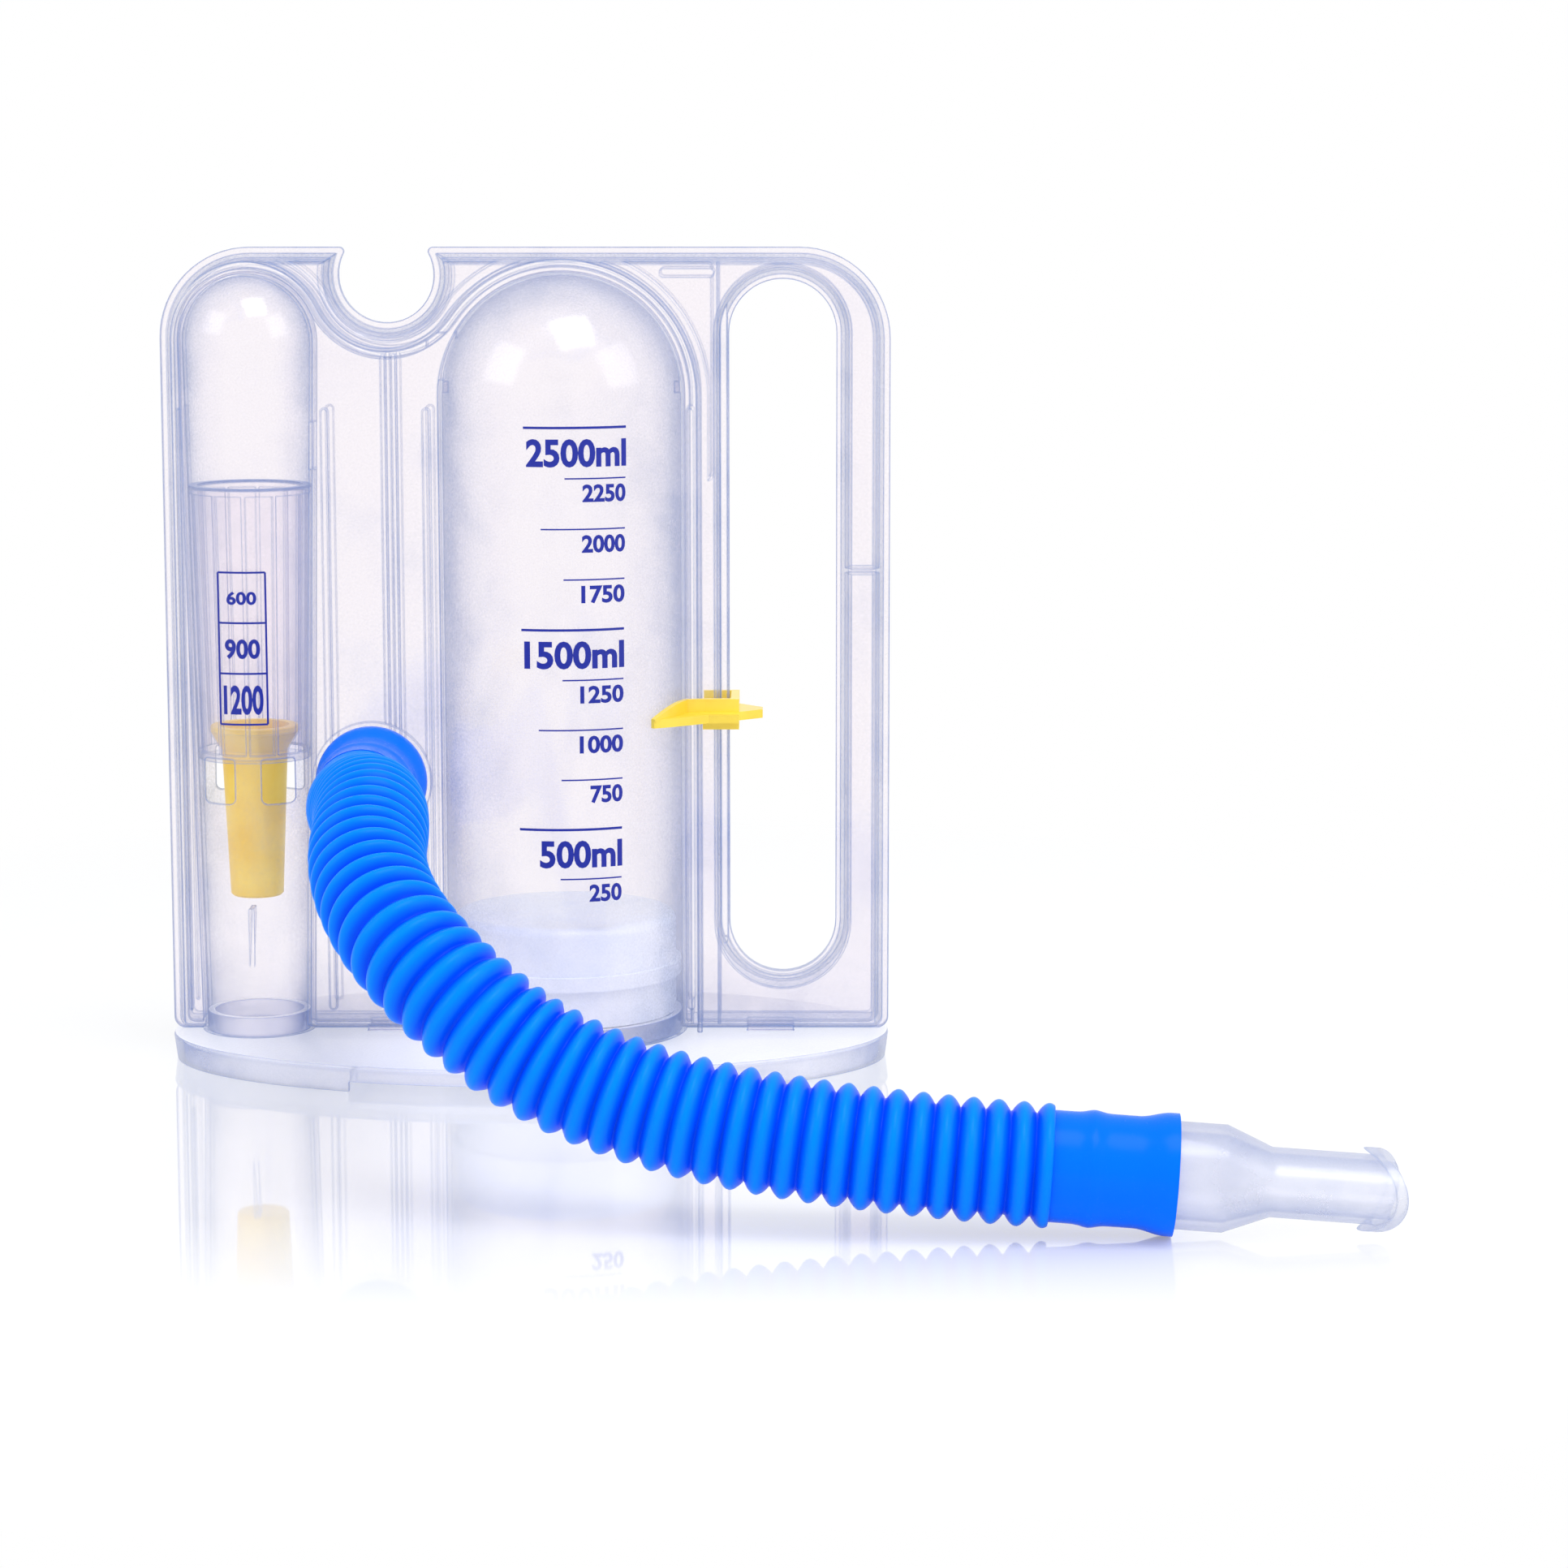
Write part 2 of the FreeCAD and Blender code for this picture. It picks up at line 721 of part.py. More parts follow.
def weld_ridge():
    """The fine ridge that runs along the weld band, down to the foot."""
    root = s.panel_depth
    crest = face_depth + s.ridge_height
    half = s.ridge_half_width
    slope = s.ridge_slope
    outer = air_funnel("ridge_outer", s.foot_height, (s.ridge_radius - half, root),
                       (s.ridge_radius - half + slope, crest))
    below = s.foot_height - beyond
    inner = air_funnel("ridge_inner", below,
                       (s.ridge_radius + half + slope, root - s.ridge_height),
                       (s.ridge_radius + half - slope * 2, crest + s.ridge_height))
    limit = housing_envelope("ridge_limit", s.flange_width + s.draft_width, crest + beyond,
                             s.foot_height, 0)
    return shared("weld_ridge", cut("weld_ridge_ring", outer, inner), limit)


def face_beads():
    """The raised beads of both faces: four round-ended stiffeners, the double rib that splits
    the air space below the notch, the weld ridge and a blank oval plate in the corner. The
    thin rail on the handle's strip carries the goal pointer."""
    half_bead = s.bead_width / 2
    spots = (
        ("bead_left", s.bead_left_x),
        ("bead_middle", s.bead_middle_x),
        ("bead_right", s.piston_axis_x + s.piston_chamber_radius + half_bead),
    )
    beads = [bead(name, x, s.bead_bottom_z, s.bead_top_z, half_bead, s.bead_height, s.panel_depth)
             for name, x in spots]
    beads.append(bead("bead_side", s.bead_side_x, s.bead_bottom_z, s.bead_top_z,
                      s.bead_side_width / 2, s.bead_height, s.panel_depth))
    divider_top = s.notch_z - s.band_inner_radius + s.divider_rib
    for name, side in (("divider_left", -1), ("divider_right", 1)):
        middle = s.divider_x + side * (s.divider_gap + s.divider_rib) / 2
        beads.append(bead(name, middle, s.bead_bottom_z, divider_top, s.divider_rib / 2,
                          s.bead_height, s.panel_depth))
    plate = standing_sketch("blank_plate_outline", s.panel_depth)
    half_length = s.blank_plate_length / 2
    half_plate = s.blank_plate_width / 2
    corner = s.blank_plate_width * 0.45
    draw_slab(plate, s.blank_plate_x - half_length, s.blank_plate_x + half_length,
              s.blank_plate_z - half_plate, s.blank_plate_z + half_plate, corner, corner)
    plate_height = s.band_height + s.blank_plate_relief
    beads.append(forward("blank_plate", plate, plate_height))
    beads.append(weld_ridge())
    rail = draw_slot(standing_sketch("rail_outline"), s.rail_x, s.rail_bottom_z, s.rail_top_z,
                     s.rail_width / 2)
    return [on_both_faces("beads", fuse("front_beads", *beads)),
            both_ways("pointer_rail", rail, s.rail_half_depth)]


def piston_lugs():
    """The two small lugs at the foot of the wide dome that the piston's lip stops against."""
    inner = s.piston_chamber_radius - s.piston_chamber_wall
    low = (s.piston_axis_x - inner - s.piston_chamber_wall / 2, s.piston_axis_x + inner - s.lug_reach)
    width = s.lug_reach + s.piston_chamber_wall / 2
    return [box("piston_lug_" + name, (x, -s.lug_half_depth, s.lug_z),
                (x + width, s.lug_half_depth, s.lug_z + s.lug_height))
            for name, x in zip(("left", "right"), low)]


def hollows(float_block, piston_block):
    """The hollows inside the closed slab: the air space beside the chambers, and the rest."""
    inner_inset = s.flange_width + s.wall
    floor = s.foot_height + s.wall
    air = air_block("air_hollow_block", s.band_inner_radius, floor, inner_depth)
    inner = housing_envelope("air_hollow_limit", inner_inset, inner_depth, floor)
    air_space = cut("air_hollow", shared("air_hollow_inside", air, inner), float_block, piston_block)
    rest = housing_envelope("grip_hollow_block", inner_inset, inner_depth, floor)
    band = air_block("grip_hollow_band", s.band_inner_radius - s.weld_rib, s.foot_height,
                     inner_depth + beyond)
    notch = notch_cone("grip_hollow_notch", s.flange_width + s.wall, inner_depth, s.draft_width)
    hole = hole_block("grip_hollow_hole", s.hole_lip + s.wall, inner_depth, draft)
    web = box("grip_web_block",
              (s.handle_x + s.hole_half_width, -inner_depth - beyond, s.grip_web_z - s.grip_web / 2),
              (half_width, inner_depth + beyond, s.grip_web_z + s.grip_web / 2))
    grip = cut("grip_hollow", rest, band, notch, hole, web)
    return air_space, grip


def air_openings():
    """The windows that let air in under the float, and the slots that lead it over the piston."""
    openings = []
    for name, side in (("left", -1), ("right", 1)):
        ends = sorted((side * s.window_near.value, side * s.window_far.value))
        low, high = (s.window_far, s.window_near) if side < 0 else (s.window_near, s.window_far)
        sketch = standing_sketch("window_%s_outline" % name)
        draw_slab(sketch, s.float_axis_x + side * low, s.float_axis_x + side * high,
                  s.window_bottom_z, s.window_top_z, s.window_corner, s.window_corner / 2)
        block = both_ways("window_%s_block" % name, sketch, s.float_chamber_head_radius + beyond)
        core = box("window_%s_core" % name,
                   (s.float_axis_x + ends[0] - beyond, -face_depth, s.window_bottom_z - beyond),
                   (s.float_axis_x + ends[1] + beyond, face_depth, s.window_top_z + beyond))
        openings.append(cut("window_" + name, block, core))
    float_edge = s.float_axis_x + s.float_chamber_foot_radius
    openings.append(box("float_slot", (float_edge - beyond, -s.air_slot_half_depth, s.float_slot_z),
                        (float_edge + beyond, s.air_slot_half_depth, s.float_slot_z + s.air_slot_height)))
    piston_edge = s.piston_axis_x - s.piston_chamber_radius
    openings.append(box("piston_slot", (piston_edge - beyond / 2, -s.air_slot_half_depth, s.piston_slot_z),
                        (piston_edge + beyond, s.air_slot_half_depth,
                         s.piston_slot_z + s.air_slot_height)))
    return openings


def creases():
    """The fine vertical line on each face where the handle meets the panel."""
    lines = []
    for name, near in (("front", -face_depth - beyond), ("rear", face_depth - s.crease_depth)):
        lines.append(box("crease_" + name, (s.crease_x, near, s.foot_height - beyond),
                         (s.crease_x + s.crease_width, near + beyond + s.crease_depth, s.body_top)))
    return lines


def housing():
    """Both halves in one piece: slab, flange, chambers and beads, with every hollow cut."""
    float_block = float_chamber("float_chamber", 0, s.foot_height)
    piston_block = piston_chamber("piston_chamber", 0, s.foot_height)
    plain = cut("plain_slab", drafted_slab(), face_recesses(float_block, piston_block), *creases())
    outside = fuse("housing_outside", plain, flange(), float_block, piston_block, *face_beads())
    below = s.foot_height - 1
    hollow = cut("hollow_housing", outside, *hollows(float_block, piston_block), *air_openings(),
                 float_chamber("float_chamber_hollow", s.float_chamber_wall, below),
                 piston_chamber("piston_chamber_hollow", s.piston_chamber_wall, below))
    return fuse("housing", hollow, *piston_lugs())


def tongues(side, name):
    """The two tongues of one half, which snap through the foot's deck."""
    pieces = []
    for spot, x in (("left", s.tongue_left_x), ("right", s.tongue_right_x)):
        near = s.tongue_offset if side > 0 else -s.tongue_offset - s.tongue_thickness
        pieces.append(box("%s_tongue_%s" % (name, spot),
                          (x - s.tongue_width / 2, near, s.foot_height - s.tongue_drop),
                          (x + s.tongue_width / 2, near + s.tongue_thickness,
                           s.foot_height + s.wall)))
    return pieces


def half_space(name, side):
    """The front or rear half of the space that the housing fills."""
    reach = s.piston_chamber_radius + beyond
    low = 0 if side > 0 else -reach
    return box(name, (-half_width - beyond, low, 0), (half_width + beyond, low + reach, s.body_top + beyond))


def port():
    """The hose port: a flat boss on the panel and a slightly conical spigot."""
    boss = primitive("Cylinder", "port_boss", at=(s.port_x, -s.panel_depth + s.wall, s.port_z),
                     turn=FORWARD, Radius=s.port_boss_radius,
                     Height=s.wall + s.port_boss_height)
    spigot = primitive("Cone", "port_spigot", at=(s.port_x, -s.panel_depth, s.port_z), turn=FORWARD,
                       Radius1=s.cone_radius, Radius2=s.cone_radius - s.cone_draft,
                       Height=s.port_boss_height + s.cone_length)
    bore = primitive("Cylinder", "port_bore", at=(s.port_x, -s.panel_depth + 2 * s.wall, s.port_z),
                     turn=FORWARD, Radius=s.cone_bore, Height=s.cone_length + 4 * s.wall)
    return boss, spigot, bore


def float_stop():
    """The thin pointed rib inside the narrow chamber's front wall that the float rests above."""
    chamber_edge = float_chamber_radius(s.stop_head_z) - s.float_chamber_wall / 2
    profile = doc.addObject("Sketcher::SketchObject", "float_stop_outline")
    profile.Placement = FreeCAD.Placement(
        FreeCAD.Vector(s.float_axis_x.value - s.stop_width.value / 2, 0, 0),
        FreeCAD.Rotation(FreeCAD.Vector(0, 0, 1), 90) * FreeCAD.Rotation(FreeCAD.Vector(1, 0, 0), 90))
    draw_polygon(profile, (
        (-chamber_edge, s.stop_head_z),
        (-chamber_edge + s.stop_reach, s.stop_head_z),
        (-chamber_edge + s.stop_reach, s.stop_head_z - s.stop_width * 2),
        (-float_chamber_radius(s.stop_tip_z) + s.float_chamber_wall / 2, s.stop_tip_z),
    ))
    rib = doc.addObject("Part::Extrusion", "float_stop")
    rib.Base = profile
    rib.DirMode = "Custom"
    rib.Dir = FreeCAD.Vector(1, 0, 0)
    rib.Solid = True
    bind(rib, "LengthFwd", s.stop_width)
    return rib


def front_shell(whole):
    """The front half, with the hose port and the stop under the float."""
    half = shared("front_half", whole, half_space("front_space", -1))
    boss, spigot, bore = port()
    solid = fuse("front_solid", half, boss, spigot, float_stop(), *tongues(-1, "front"))
    shell = cut("front_shell", solid, bore)
    shell.Label = "front_shell"
    return shell


def rear_shell(whole):
    """The rear half."""
    half = shared("rear_half", whole, half_space("rear_space", 1))
    shell = fuse("rear_shell", half, *tongues(1, "rear"))
    shell.Label = "rear_shell"
    return shell


# Foot

def oval(name, inset, height):
    """The foot's oval, drawn in by inset, at a height."""
    return primitive("Ellipse", name, at=(0, 0, height),
                     MajorRadius=s.body_width / 2 - inset, MinorRadius=s.foot_depth / 2 - inset)


def oval_block(name, levels):
    """A solid through ovals given as inset and height, from the bottom up."""
    block = doc.addObject("Part::Loft", name)
    block.Sections = [oval("%s_oval_%d" % (name, index), inset, height)
                      for index, (inset, height) in enumerate(levels)]
    block.Solid = True
    block.Ruled = True
    return block


def centring_ring(name, x, radius, height):
    """A low ring on the deck that centres a chamber."""
    outer = primitive("Cylinder", name + "_outer", at=(x, 0, s.foot_height - s.deck),
                      Radius=radius, Height=height + s.deck)
    inner = primitive("Cylinder", name + "_inner", at=(x, 0, s.foot_height),
                      Radius=radius - s.ring_wall, Height=height + beyond)
    return cut(name, outer, inner)


def foot():
    """The oval foot: rim and deck, centring rings, tongue slots, an air inlet and arches."""
    small = s.foot_edge * 0.3
    outer = oval_block("foot_outer", (
        (s.foot_draft, 0), (0, s.foot_height - s.foot_edge), (small, s.foot_height - small),
        (s.foot_edge, s.foot_height)))
    inner = oval_block("foot_hollow", (
        (s.foot_draft + s.rim_wall, -1), (s.rim_wall, s.foot_height - s.deck)))
    piston_ring = centring_ring(
        "piston_ring", s.piston_axis_x,
        s.piston_chamber_radius - s.piston_chamber_wall - s.ring_clearance, s.ring_height)
    float_ring = centring_ring(
        "float_ring", s.float_axis_x,
        s.float_chamber_foot_radius - s.float_chamber_wall - s.ring_clearance, s.ring_height)
    ribs = []
    for index in (-1, 0, 1):
        x = index * s.foot_rib_pitch
        ribs.append(box("foot_rib_%d" % (index + 2), (x - s.foot_rib / 2, -s.foot_depth / 2,
                                                     s.foot_rib_lift),
                        (x + s.foot_rib / 2, s.foot_depth / 2, s.foot_height - s.deck / 2)))
    ribs.append(box("foot_rib_long", (-s.body_width / 2, -s.foot_rib / 2, s.foot_rib_lift),
                    (s.body_width / 2, s.foot_rib / 2, s.foot_height - s.deck / 2)))
    inside = shared("foot_ribs", fuse("foot_rib_set", *ribs), inner)
    slots = []
    for name, x in (("left", s.tongue_left_x), ("right", s.tongue_right_x)):
        for side in (-1, 1):
            near = s.tongue_offset if side > 0 else -s.tongue_offset - s.tongue_thickness
            slots.append(box("foot_slot_%s_%s" % (name, "rear" if side > 0 else "front"),
                             (x - s.tongue_width / 2 - s.tongue_clearance, near - s.tongue_clearance,
                              -1.0),
                             (x + s.tongue_width / 2 + s.tongue_clearance,
                              near + s.tongue_thickness + s.tongue_clearance, s.foot_height + 1)))
    inlet = primitive("Cylinder", "foot_air_inlet", at=(s.piston_axis_x, 0, -1),
                      Radius=s.air_inlet_radius, Height=s.foot_height + 2)
    arch = box("foot_arch", (-s.rim_arch_half_width, -s.foot_depth, -1),
               (s.rim_arch_half_width, s.foot_depth, s.rim_arch_height))
    shell = cut("foot_shell", outer, inner)
    part = cut("foot", fuse("foot_solid", shell, inside, piston_ring, float_ring), inlet, arch, *slots)
    part.Label = "foot"
    return part


# Pieces inside the chambers

def flow_tube():
    """The clear insert of the narrow chamber: a slightly widening tube between two flanges,
    with ribs round it and a conical seat for the float at its foot."""
    inner_wall = s.float_chamber_wall + s.tube_clearance
    low_edge = float_chamber_radius(s.tube_bottom_z) - inner_wall
    high_edge = float_chamber_radius(s.tube_top_z - s.tube_flange) - inner_wall
    seat_top = s.tube_bottom_z + s.tube_flange + s.seat_rise
    part = turned("flow_tube", (
        (s.seat_bore, s.tube_bottom_z),
        (low_edge, s.tube_bottom_z),
        (low_edge, s.tube_bottom_z + s.tube_flange),
        (s.tube_foot_bore + s.tube_wall, s.tube_bottom_z + s.tube_flange),
        (s.tube_head_bore + s.tube_wall, s.tube_top_z - s.tube_flange),
        (high_edge, s.tube_top_z - s.tube_flange),
        (high_edge, s.tube_top_z),
        (s.tube_head_bore, s.tube_top_z),
        (s.tube_foot_bore, seat_top),
        (s.seat_bore, s.tube_bottom_z + s.tube_flange),
    ))
    rib_sketch = body_sketch(part, "XZ_Plane", "tube_rib_outline")
    draw_polygon(rib_sketch, (
        (s.tube_foot_bore + s.tube_wall / 2, s.tube_bottom_z + s.tube_flange / 2),
        (low_edge, s.tube_bottom_z + s.tube_flange / 2),
        (high_edge, s.tube_top_z - s.tube_flange / 2),
        (s.tube_head_bore + s.tube_wall / 2, s.tube_top_z - s.tube_flange / 2),
    ))
    rib = part.newObject("PartDesign::Pad", "tube_rib")
    rib.Profile = rib_sketch
    rib.Midplane = True
    bind(rib, "Length", s.tube_rib)
    doc.recompute()
    ring = part.newObject("PartDesign::PolarPattern", "tube_ribs")
    ring.Originals = [rib]
    ring.Axis = (rib_sketch, ["V_Axis"])
    ring.Angle = 360.0
    bind(ring, "Occurrences", s.tube_rib_count)
    part.Tip = ring
    return place(part, (s.float_axis_x, 0, 0))


def flow_float():
    """The float: a flange over a cone that sits in the seat, on a hollow tapering shaft."""
    seat_z = s.tube_bottom_z + s.tube_flange
    slope = (s.tube_foot_bore - s.seat_bore) / s.seat_rise
    neck = s.seat_bore - s.float_clearance
    flange_z = seat_z + (s.float_flange_radius - neck) / slope
    top = flange_z + s.float_flange
    part = turned("flow_float", (
        (0, s.float_bottom_z),
        (s.float_bottom_radius - s.float_wall / 2, s.float_bottom_z),
        (s.float_bottom_radius, s.float_bottom_z + s.float_wall / 2),
        (neck, seat_z),
        (s.float_flange_radius, flange_z),
        (s.float_flange_radius, top - s.float_wall / 4),
        (s.float_flange_radius - s.float_wall / 4, top),
        (neck - s.float_wall + s.float_flange, top),
        (neck - s.float_wall, seat_z),
        (s.float_bottom_radius - s.float_wall, s.float_bottom_z + s.float_wall),
        (0, s.float_bottom_z + s.float_wall),
    ))
    return place(part, (s.float_axis_x, 0, 0))


piston_rest_z = s.foot_height + s.ring_height + s.piston_rest_gap


def volume_piston():
    """The piston: an upturned cup with a rounded crown and a sealing lip round it."""
    lip_radius = s.piston_chamber_radius - s.piston_chamber_wall - s.piston_clearance
    lip_z = piston_rest_z + s.piston_lip_rise
    top = piston_rest_z + s.piston_height
    part = turned("volume_piston", (
        (s.piston_crown_radius - s.piston_wall, piston_rest_z),
        (s.piston_crown_radius, piston_rest_z),
        (s.piston_crown_radius, lip_z),
        (lip_radius, lip_z),
        (lip_radius, lip_z + s.piston_lip),
        (s.piston_crown_radius, lip_z + s.piston_lip),
        (s.piston_crown_radius, top),
        (0, top),
        (0, top - s.piston_wall),
        (s.piston_crown_radius - s.piston_wall, top - s.piston_wall),
    ))
    doc.recompute()
    crown = part.newObject("PartDesign::Fillet", "piston_crown")
    cup = part.Group[-2]
    edges = []
    for index, edge in enumerate(cup.Shape.Edges, start=1):
        level = abs(edge.CenterOfMass.z - top.value) < 0.01
        if level and abs(edge.BoundBox.XMax - s.piston_crown_radius.value) < 0.01:
            edges.append("Edge%d" % index)
    crown.Base = (cup, edges)
    bind(crown, "Radius", s.piston_crown_fillet)
    part.Tip = crown
    return place(part, (s.piston_axis_x, 0, 0))


# Goal pointer

def goal_pointer():
    """The clip that straddles the strip beside the handle's hole, with a blade that follows
    the wide chamber round to its scale and a thumb tab in the hole."""
    inner = face_depth + s.clip_clearance
    outer = inner + s.clip_wall
    hole_edge = s.handle_x - s.hole_half_width
    bridge_x = hole_edge + s.clip_clearance
    right = bridge_x + s.clip_bridge
    low = s.pointer_z - s.clip_drop
    high = s.pointer_z + s.clip_rise
    block = box("clip_block", (s.clip_left_x, -outer, low), (right, outer, high))
    gap = box("clip_gap", (s.clip_left_x - beyond, -inner, low - beyond), (bridge_x, inner, high + beyond))
    clip = cut("clip", block, gap)
    blade_low = s.pointer_z - s.blade_thickness
    arm = box("blade_arm", (s.clip_left_x, -outer - s.blade_reach, blade_low),
              (right, -outer + s.clip_wall / 2, s.pointer_z))
    sweep = feature("blade_sweep", blade_shape(outer, blade_low))
    tab = feature("thumb_tab", tab_shape(right, outer, blade_low))
    pointer = fuse("goal_pointer", clip, arm, sweep, tab)
    pointer.Label = "goal_pointer"
    return pointer


def blade_shape(outer, low):
    """The blade seen from above: a ring sector about the wide chamber's axis that narrows to
    a blunt tip at its far end."""
    axis = FreeCAD.Vector(s.piston_axis_x.value, 0, low.value)
    inner_radius = s.piston_chamber_radius.value + s.blade_gap.value
    start = math.degrees(math.asin((outer.value - s.clip_wall.value / 2) / inner_radius))
    end = s.blade_tip_turn.value
    tip_width = s.blade_thickness.value / 2

    def at(radius, degrees):
        turn = math.radians(-degrees)
        return axis + FreeCAD.Vector(radius * math.cos(turn), radius * math.sin(turn), 0)

    middle = (start + end) / 2
    heel_x = s.clip_left_x.value + s.clip_wall.value
    heel_low = FreeCAD.Vector(heel_x, -outer.value - s.blade_reach.value, low.value)
    heel_high = FreeCAD.Vector(heel_x, -outer.value + s.clip_wall.value / 2, low.value)
    inner_arc = Part.Arc(at(inner_radius, start), at(inner_radius, middle), at(inner_radius, end))
    outer_tip = at(inner_radius + tip_width, end)
    outer_middle = at(inner_radius + s.blade_reach.value * 0.86, middle + 2)
    edges = [
        Part.LineSegment(heel_high, at(inner_radius, start)).toShape(),
        inner_arc.toShape(),
        Part.LineSegment(at(inner_radius, end), outer_tip).toShape(),
        Part.Arc(outer_tip, outer_middle, heel_low).toShape(),
        Part.LineSegment(heel_low, heel_high).toShape(),
    ]
    face = Part.Face(Part.Wire(edges))
    return face.extrude(FreeCAD.Vector(0, 0, s.blade_thickness.value))


def tab_shape(right, outer, low):
    """The thumb tab seen from above: a blunt wedge that stands out from the clip's bridge."""
    x = right.value - s.clip_bridge.value / 2
    reach = right.value + s.thumb_tab.value
    back = outer.value
    tip = s.blade_thickness.value / 2
    points = [FreeCAD.Vector(x, -back, low.value), FreeCAD.Vector(reach, -tip * 3, low.value),
              FreeCAD.Vector(reach, tip, low.value), FreeCAD.Vector(x, back, low.value)]
    points.append(points[0])
    return Part.Face(Part.makePolygon(points)).extrude(FreeCAD.Vector(0, 0, s.blade_thickness.value))


# Hose, cuffs and mouthpiece

port_face_y = -s.panel_depth - s.port_boss_height - s.port_seat_gap
hose_start = (s.port_x, port_face_y - s.cuff_length, s.port_z)


def route_points():
    """The hose's route: its start at the port cuff and the points set by hand."""
    first = FreeCAD.Vector(*[as_size(value).value for value in hose_start])
    return [first] + [FreeCAD.Vector(*point) for point in HOSE_ROUTE]


def route_path(points):
    """Straight runs joined by tangent arcs, each as large as its two runs allow."""
    share = 0.45
    edges = []
    radii = []
    start = points[0]
    for before, corner, after in zip(points, points[1:], points[2:]):
        towards = (before - corner).normalize()
        away = (after - corner).normalize()
        reach = share * min((before - corner).Length, (after - corner).Length)
        half_turn = (math.pi - towards.getAngle(away)) / 2
        radii.append(reach / math.tan(half_turn))
        entry = corner + towards * reach
        leave = corner + away * reach
        bisector = (towards + away).normalize()
        middle = corner + bisector * (radii[-1] / math.cos(half_turn) - radii[-1])
        edges.append(Part.LineSegment(start, entry).toShape())
        edges.append(Part.Arc(entry, middle, leave).toShape())
        start = leave
    edges.append(Part.LineSegment(start, points[-1]).toShape())
    return Part.Wire(edges), radii


def breathing_hose():
    """The hose as a plain tube along its route."""
    points = route_points()
    path, radii = route_path(points)
    start_run = points[1] - points[0]
    tubes = []
    for radius in (s.hose_radius.value, s.hose_bore.value):
        ring = Part.Wire(Part.makeCircle(radius, points[0], start_run))
        tubes.append(path.makePipeShell([ring], True, True))
    along = FreeCAD.Vector(start_run).normalize() * s.cuff_neck.value
    stub = Part.makeCylinder(s.hose_radius.value, s.cuff_neck.value, points[0] - along, along)
    bore = Part.makeCylinder(s.hose_bore.value, s.cuff_neck.value, points[0] - along, along)
    limit = Part.makeBox(4 * s.hose_radius.value, 4 * s.cuff_neck.value, 4 * s.hose_radius.value)
    limit.translate(FreeCAD.Vector(
        points[0].x - 2 * s.hose_radius.value, points[0].y - s.hose_gap.value,
        points[0].z - 2 * s.hose_radius.value))
    wall = tubes[0].fuse(stub).cut(tubes[1].fuse(bore)).cut(limit)
    tube = feature("breathing_hose", wall.removeSplitter())
    tube.Label = "breathing_hose"
    area = math.pi * (s.hose_radius.value ** 2 - s.hose_bore.value ** 2)
    print("hose bend radii", [round(radius, 1) for radius in radii])
    print("hose length %.1f, volume %.0f, section times length %.0f"
          % (path.Length, tube.Shape.Volume, area * path.Length))
    return tube


def cuff(name, flare_radius):
    """A smooth hose end: a neck as wide as the hose, a stop ring and a flared mouth. Its own
    Z axis runs from the hose to the mouth."""
    ring_end = s.cuff_ring_start + s.cuff_ring_width
    bevel = s.cuff_radius * 0.06
    return turned(name, (
        (s.cuff_bore, 0),
        (s.hose_radius, 0),
        (s.hose_radius, s.cuff_neck / 2),
        (s.cuff_radius, s.cuff_neck),
        (s.cuff_radius, s.cuff_ring_start),
        (s.cuff_ring_radius, s.cuff_ring_start + bevel),
        (s.cuff_ring_radius, ring_end - bevel),
        (s.cuff_radius, ring_end),
        (s.cuff_radius, s.cuff_length - s.cuff_flare),
        (flare_radius, s.cuff_length - s.cuff_flare / 4),
        (flare_radius, s.cuff_length),
        (s.cuff_bore, s.cuff_length),
    ))


def hose_port_cuff():
    """The cuff on the port, its mouth against the boss."""
    return place(cuff("hose_port_cuff", s.port_flare_radius), hose_start, BACKWARD)


def last_run():
    """The direction of the hose's last run, and the place where the hose ends."""
    points = route_points()
    return (points[-1] - points[-2]).normalize(), points[-1]


def hose_mouth_cuff():
    """The cuff at the mouth, in line with the hose's last run."""
    run, end = last_run()
    part = cuff("hose_mouth_cuff", s.mouth_flare_radius)
    return place(part, tuple(end), FreeCAD.Rotation(FreeCAD.Vector(0, 0, 1), run))


def mouth_oval(name, x, growth):
    """The mouthpiece's oval section, standing across its axis at x."""
    upright = FreeCAD.Rotation(FreeCAD.Vector(0, 1, 0), 90)
    across = upright * FreeCAD.Rotation(FreeCAD.Vector(0, 0, 1), 90)
    return primitive("Ellipse", name, at=(x, 0, 0), turn=across,
                     MajorRadius=s.mouth_half_width + growth, MinorRadius=s.mouth_half_height + growth)


def mouth_round(name, x, radius):
    """A round section of the mouthpiece, standing across its axis at x."""
    return primitive("Circle", name, at=(x, 0, 0), turn=SIDEWAYS, Radius=radius)


def mouth_loft(name, *sections):
    """A straight loft through sections of the mouthpiece."""
    block = doc.addObject("Part::Loft", name)
    block.Sections = list(sections)
    block.Solid = True
    block.Ruled = True
    return block


def nose_block(name, shift):
    """The space behind the mouthpiece's bowed rim: a box with a round front."""
    front = s.mouth_length - s.nose_radius - shift
    tall = 2 * s.shoulder_radius
    back = box(name + "_back", (-s.mouth_plug, -tall, -tall), (front, tall, tall))
    bow = primitive("Cylinder", name + "_bow", at=(front, tall, 0), turn=FORWARD,
                    Radius=s.nose_radius, Height=2 * tall)
    return fuse(name, back, bow)


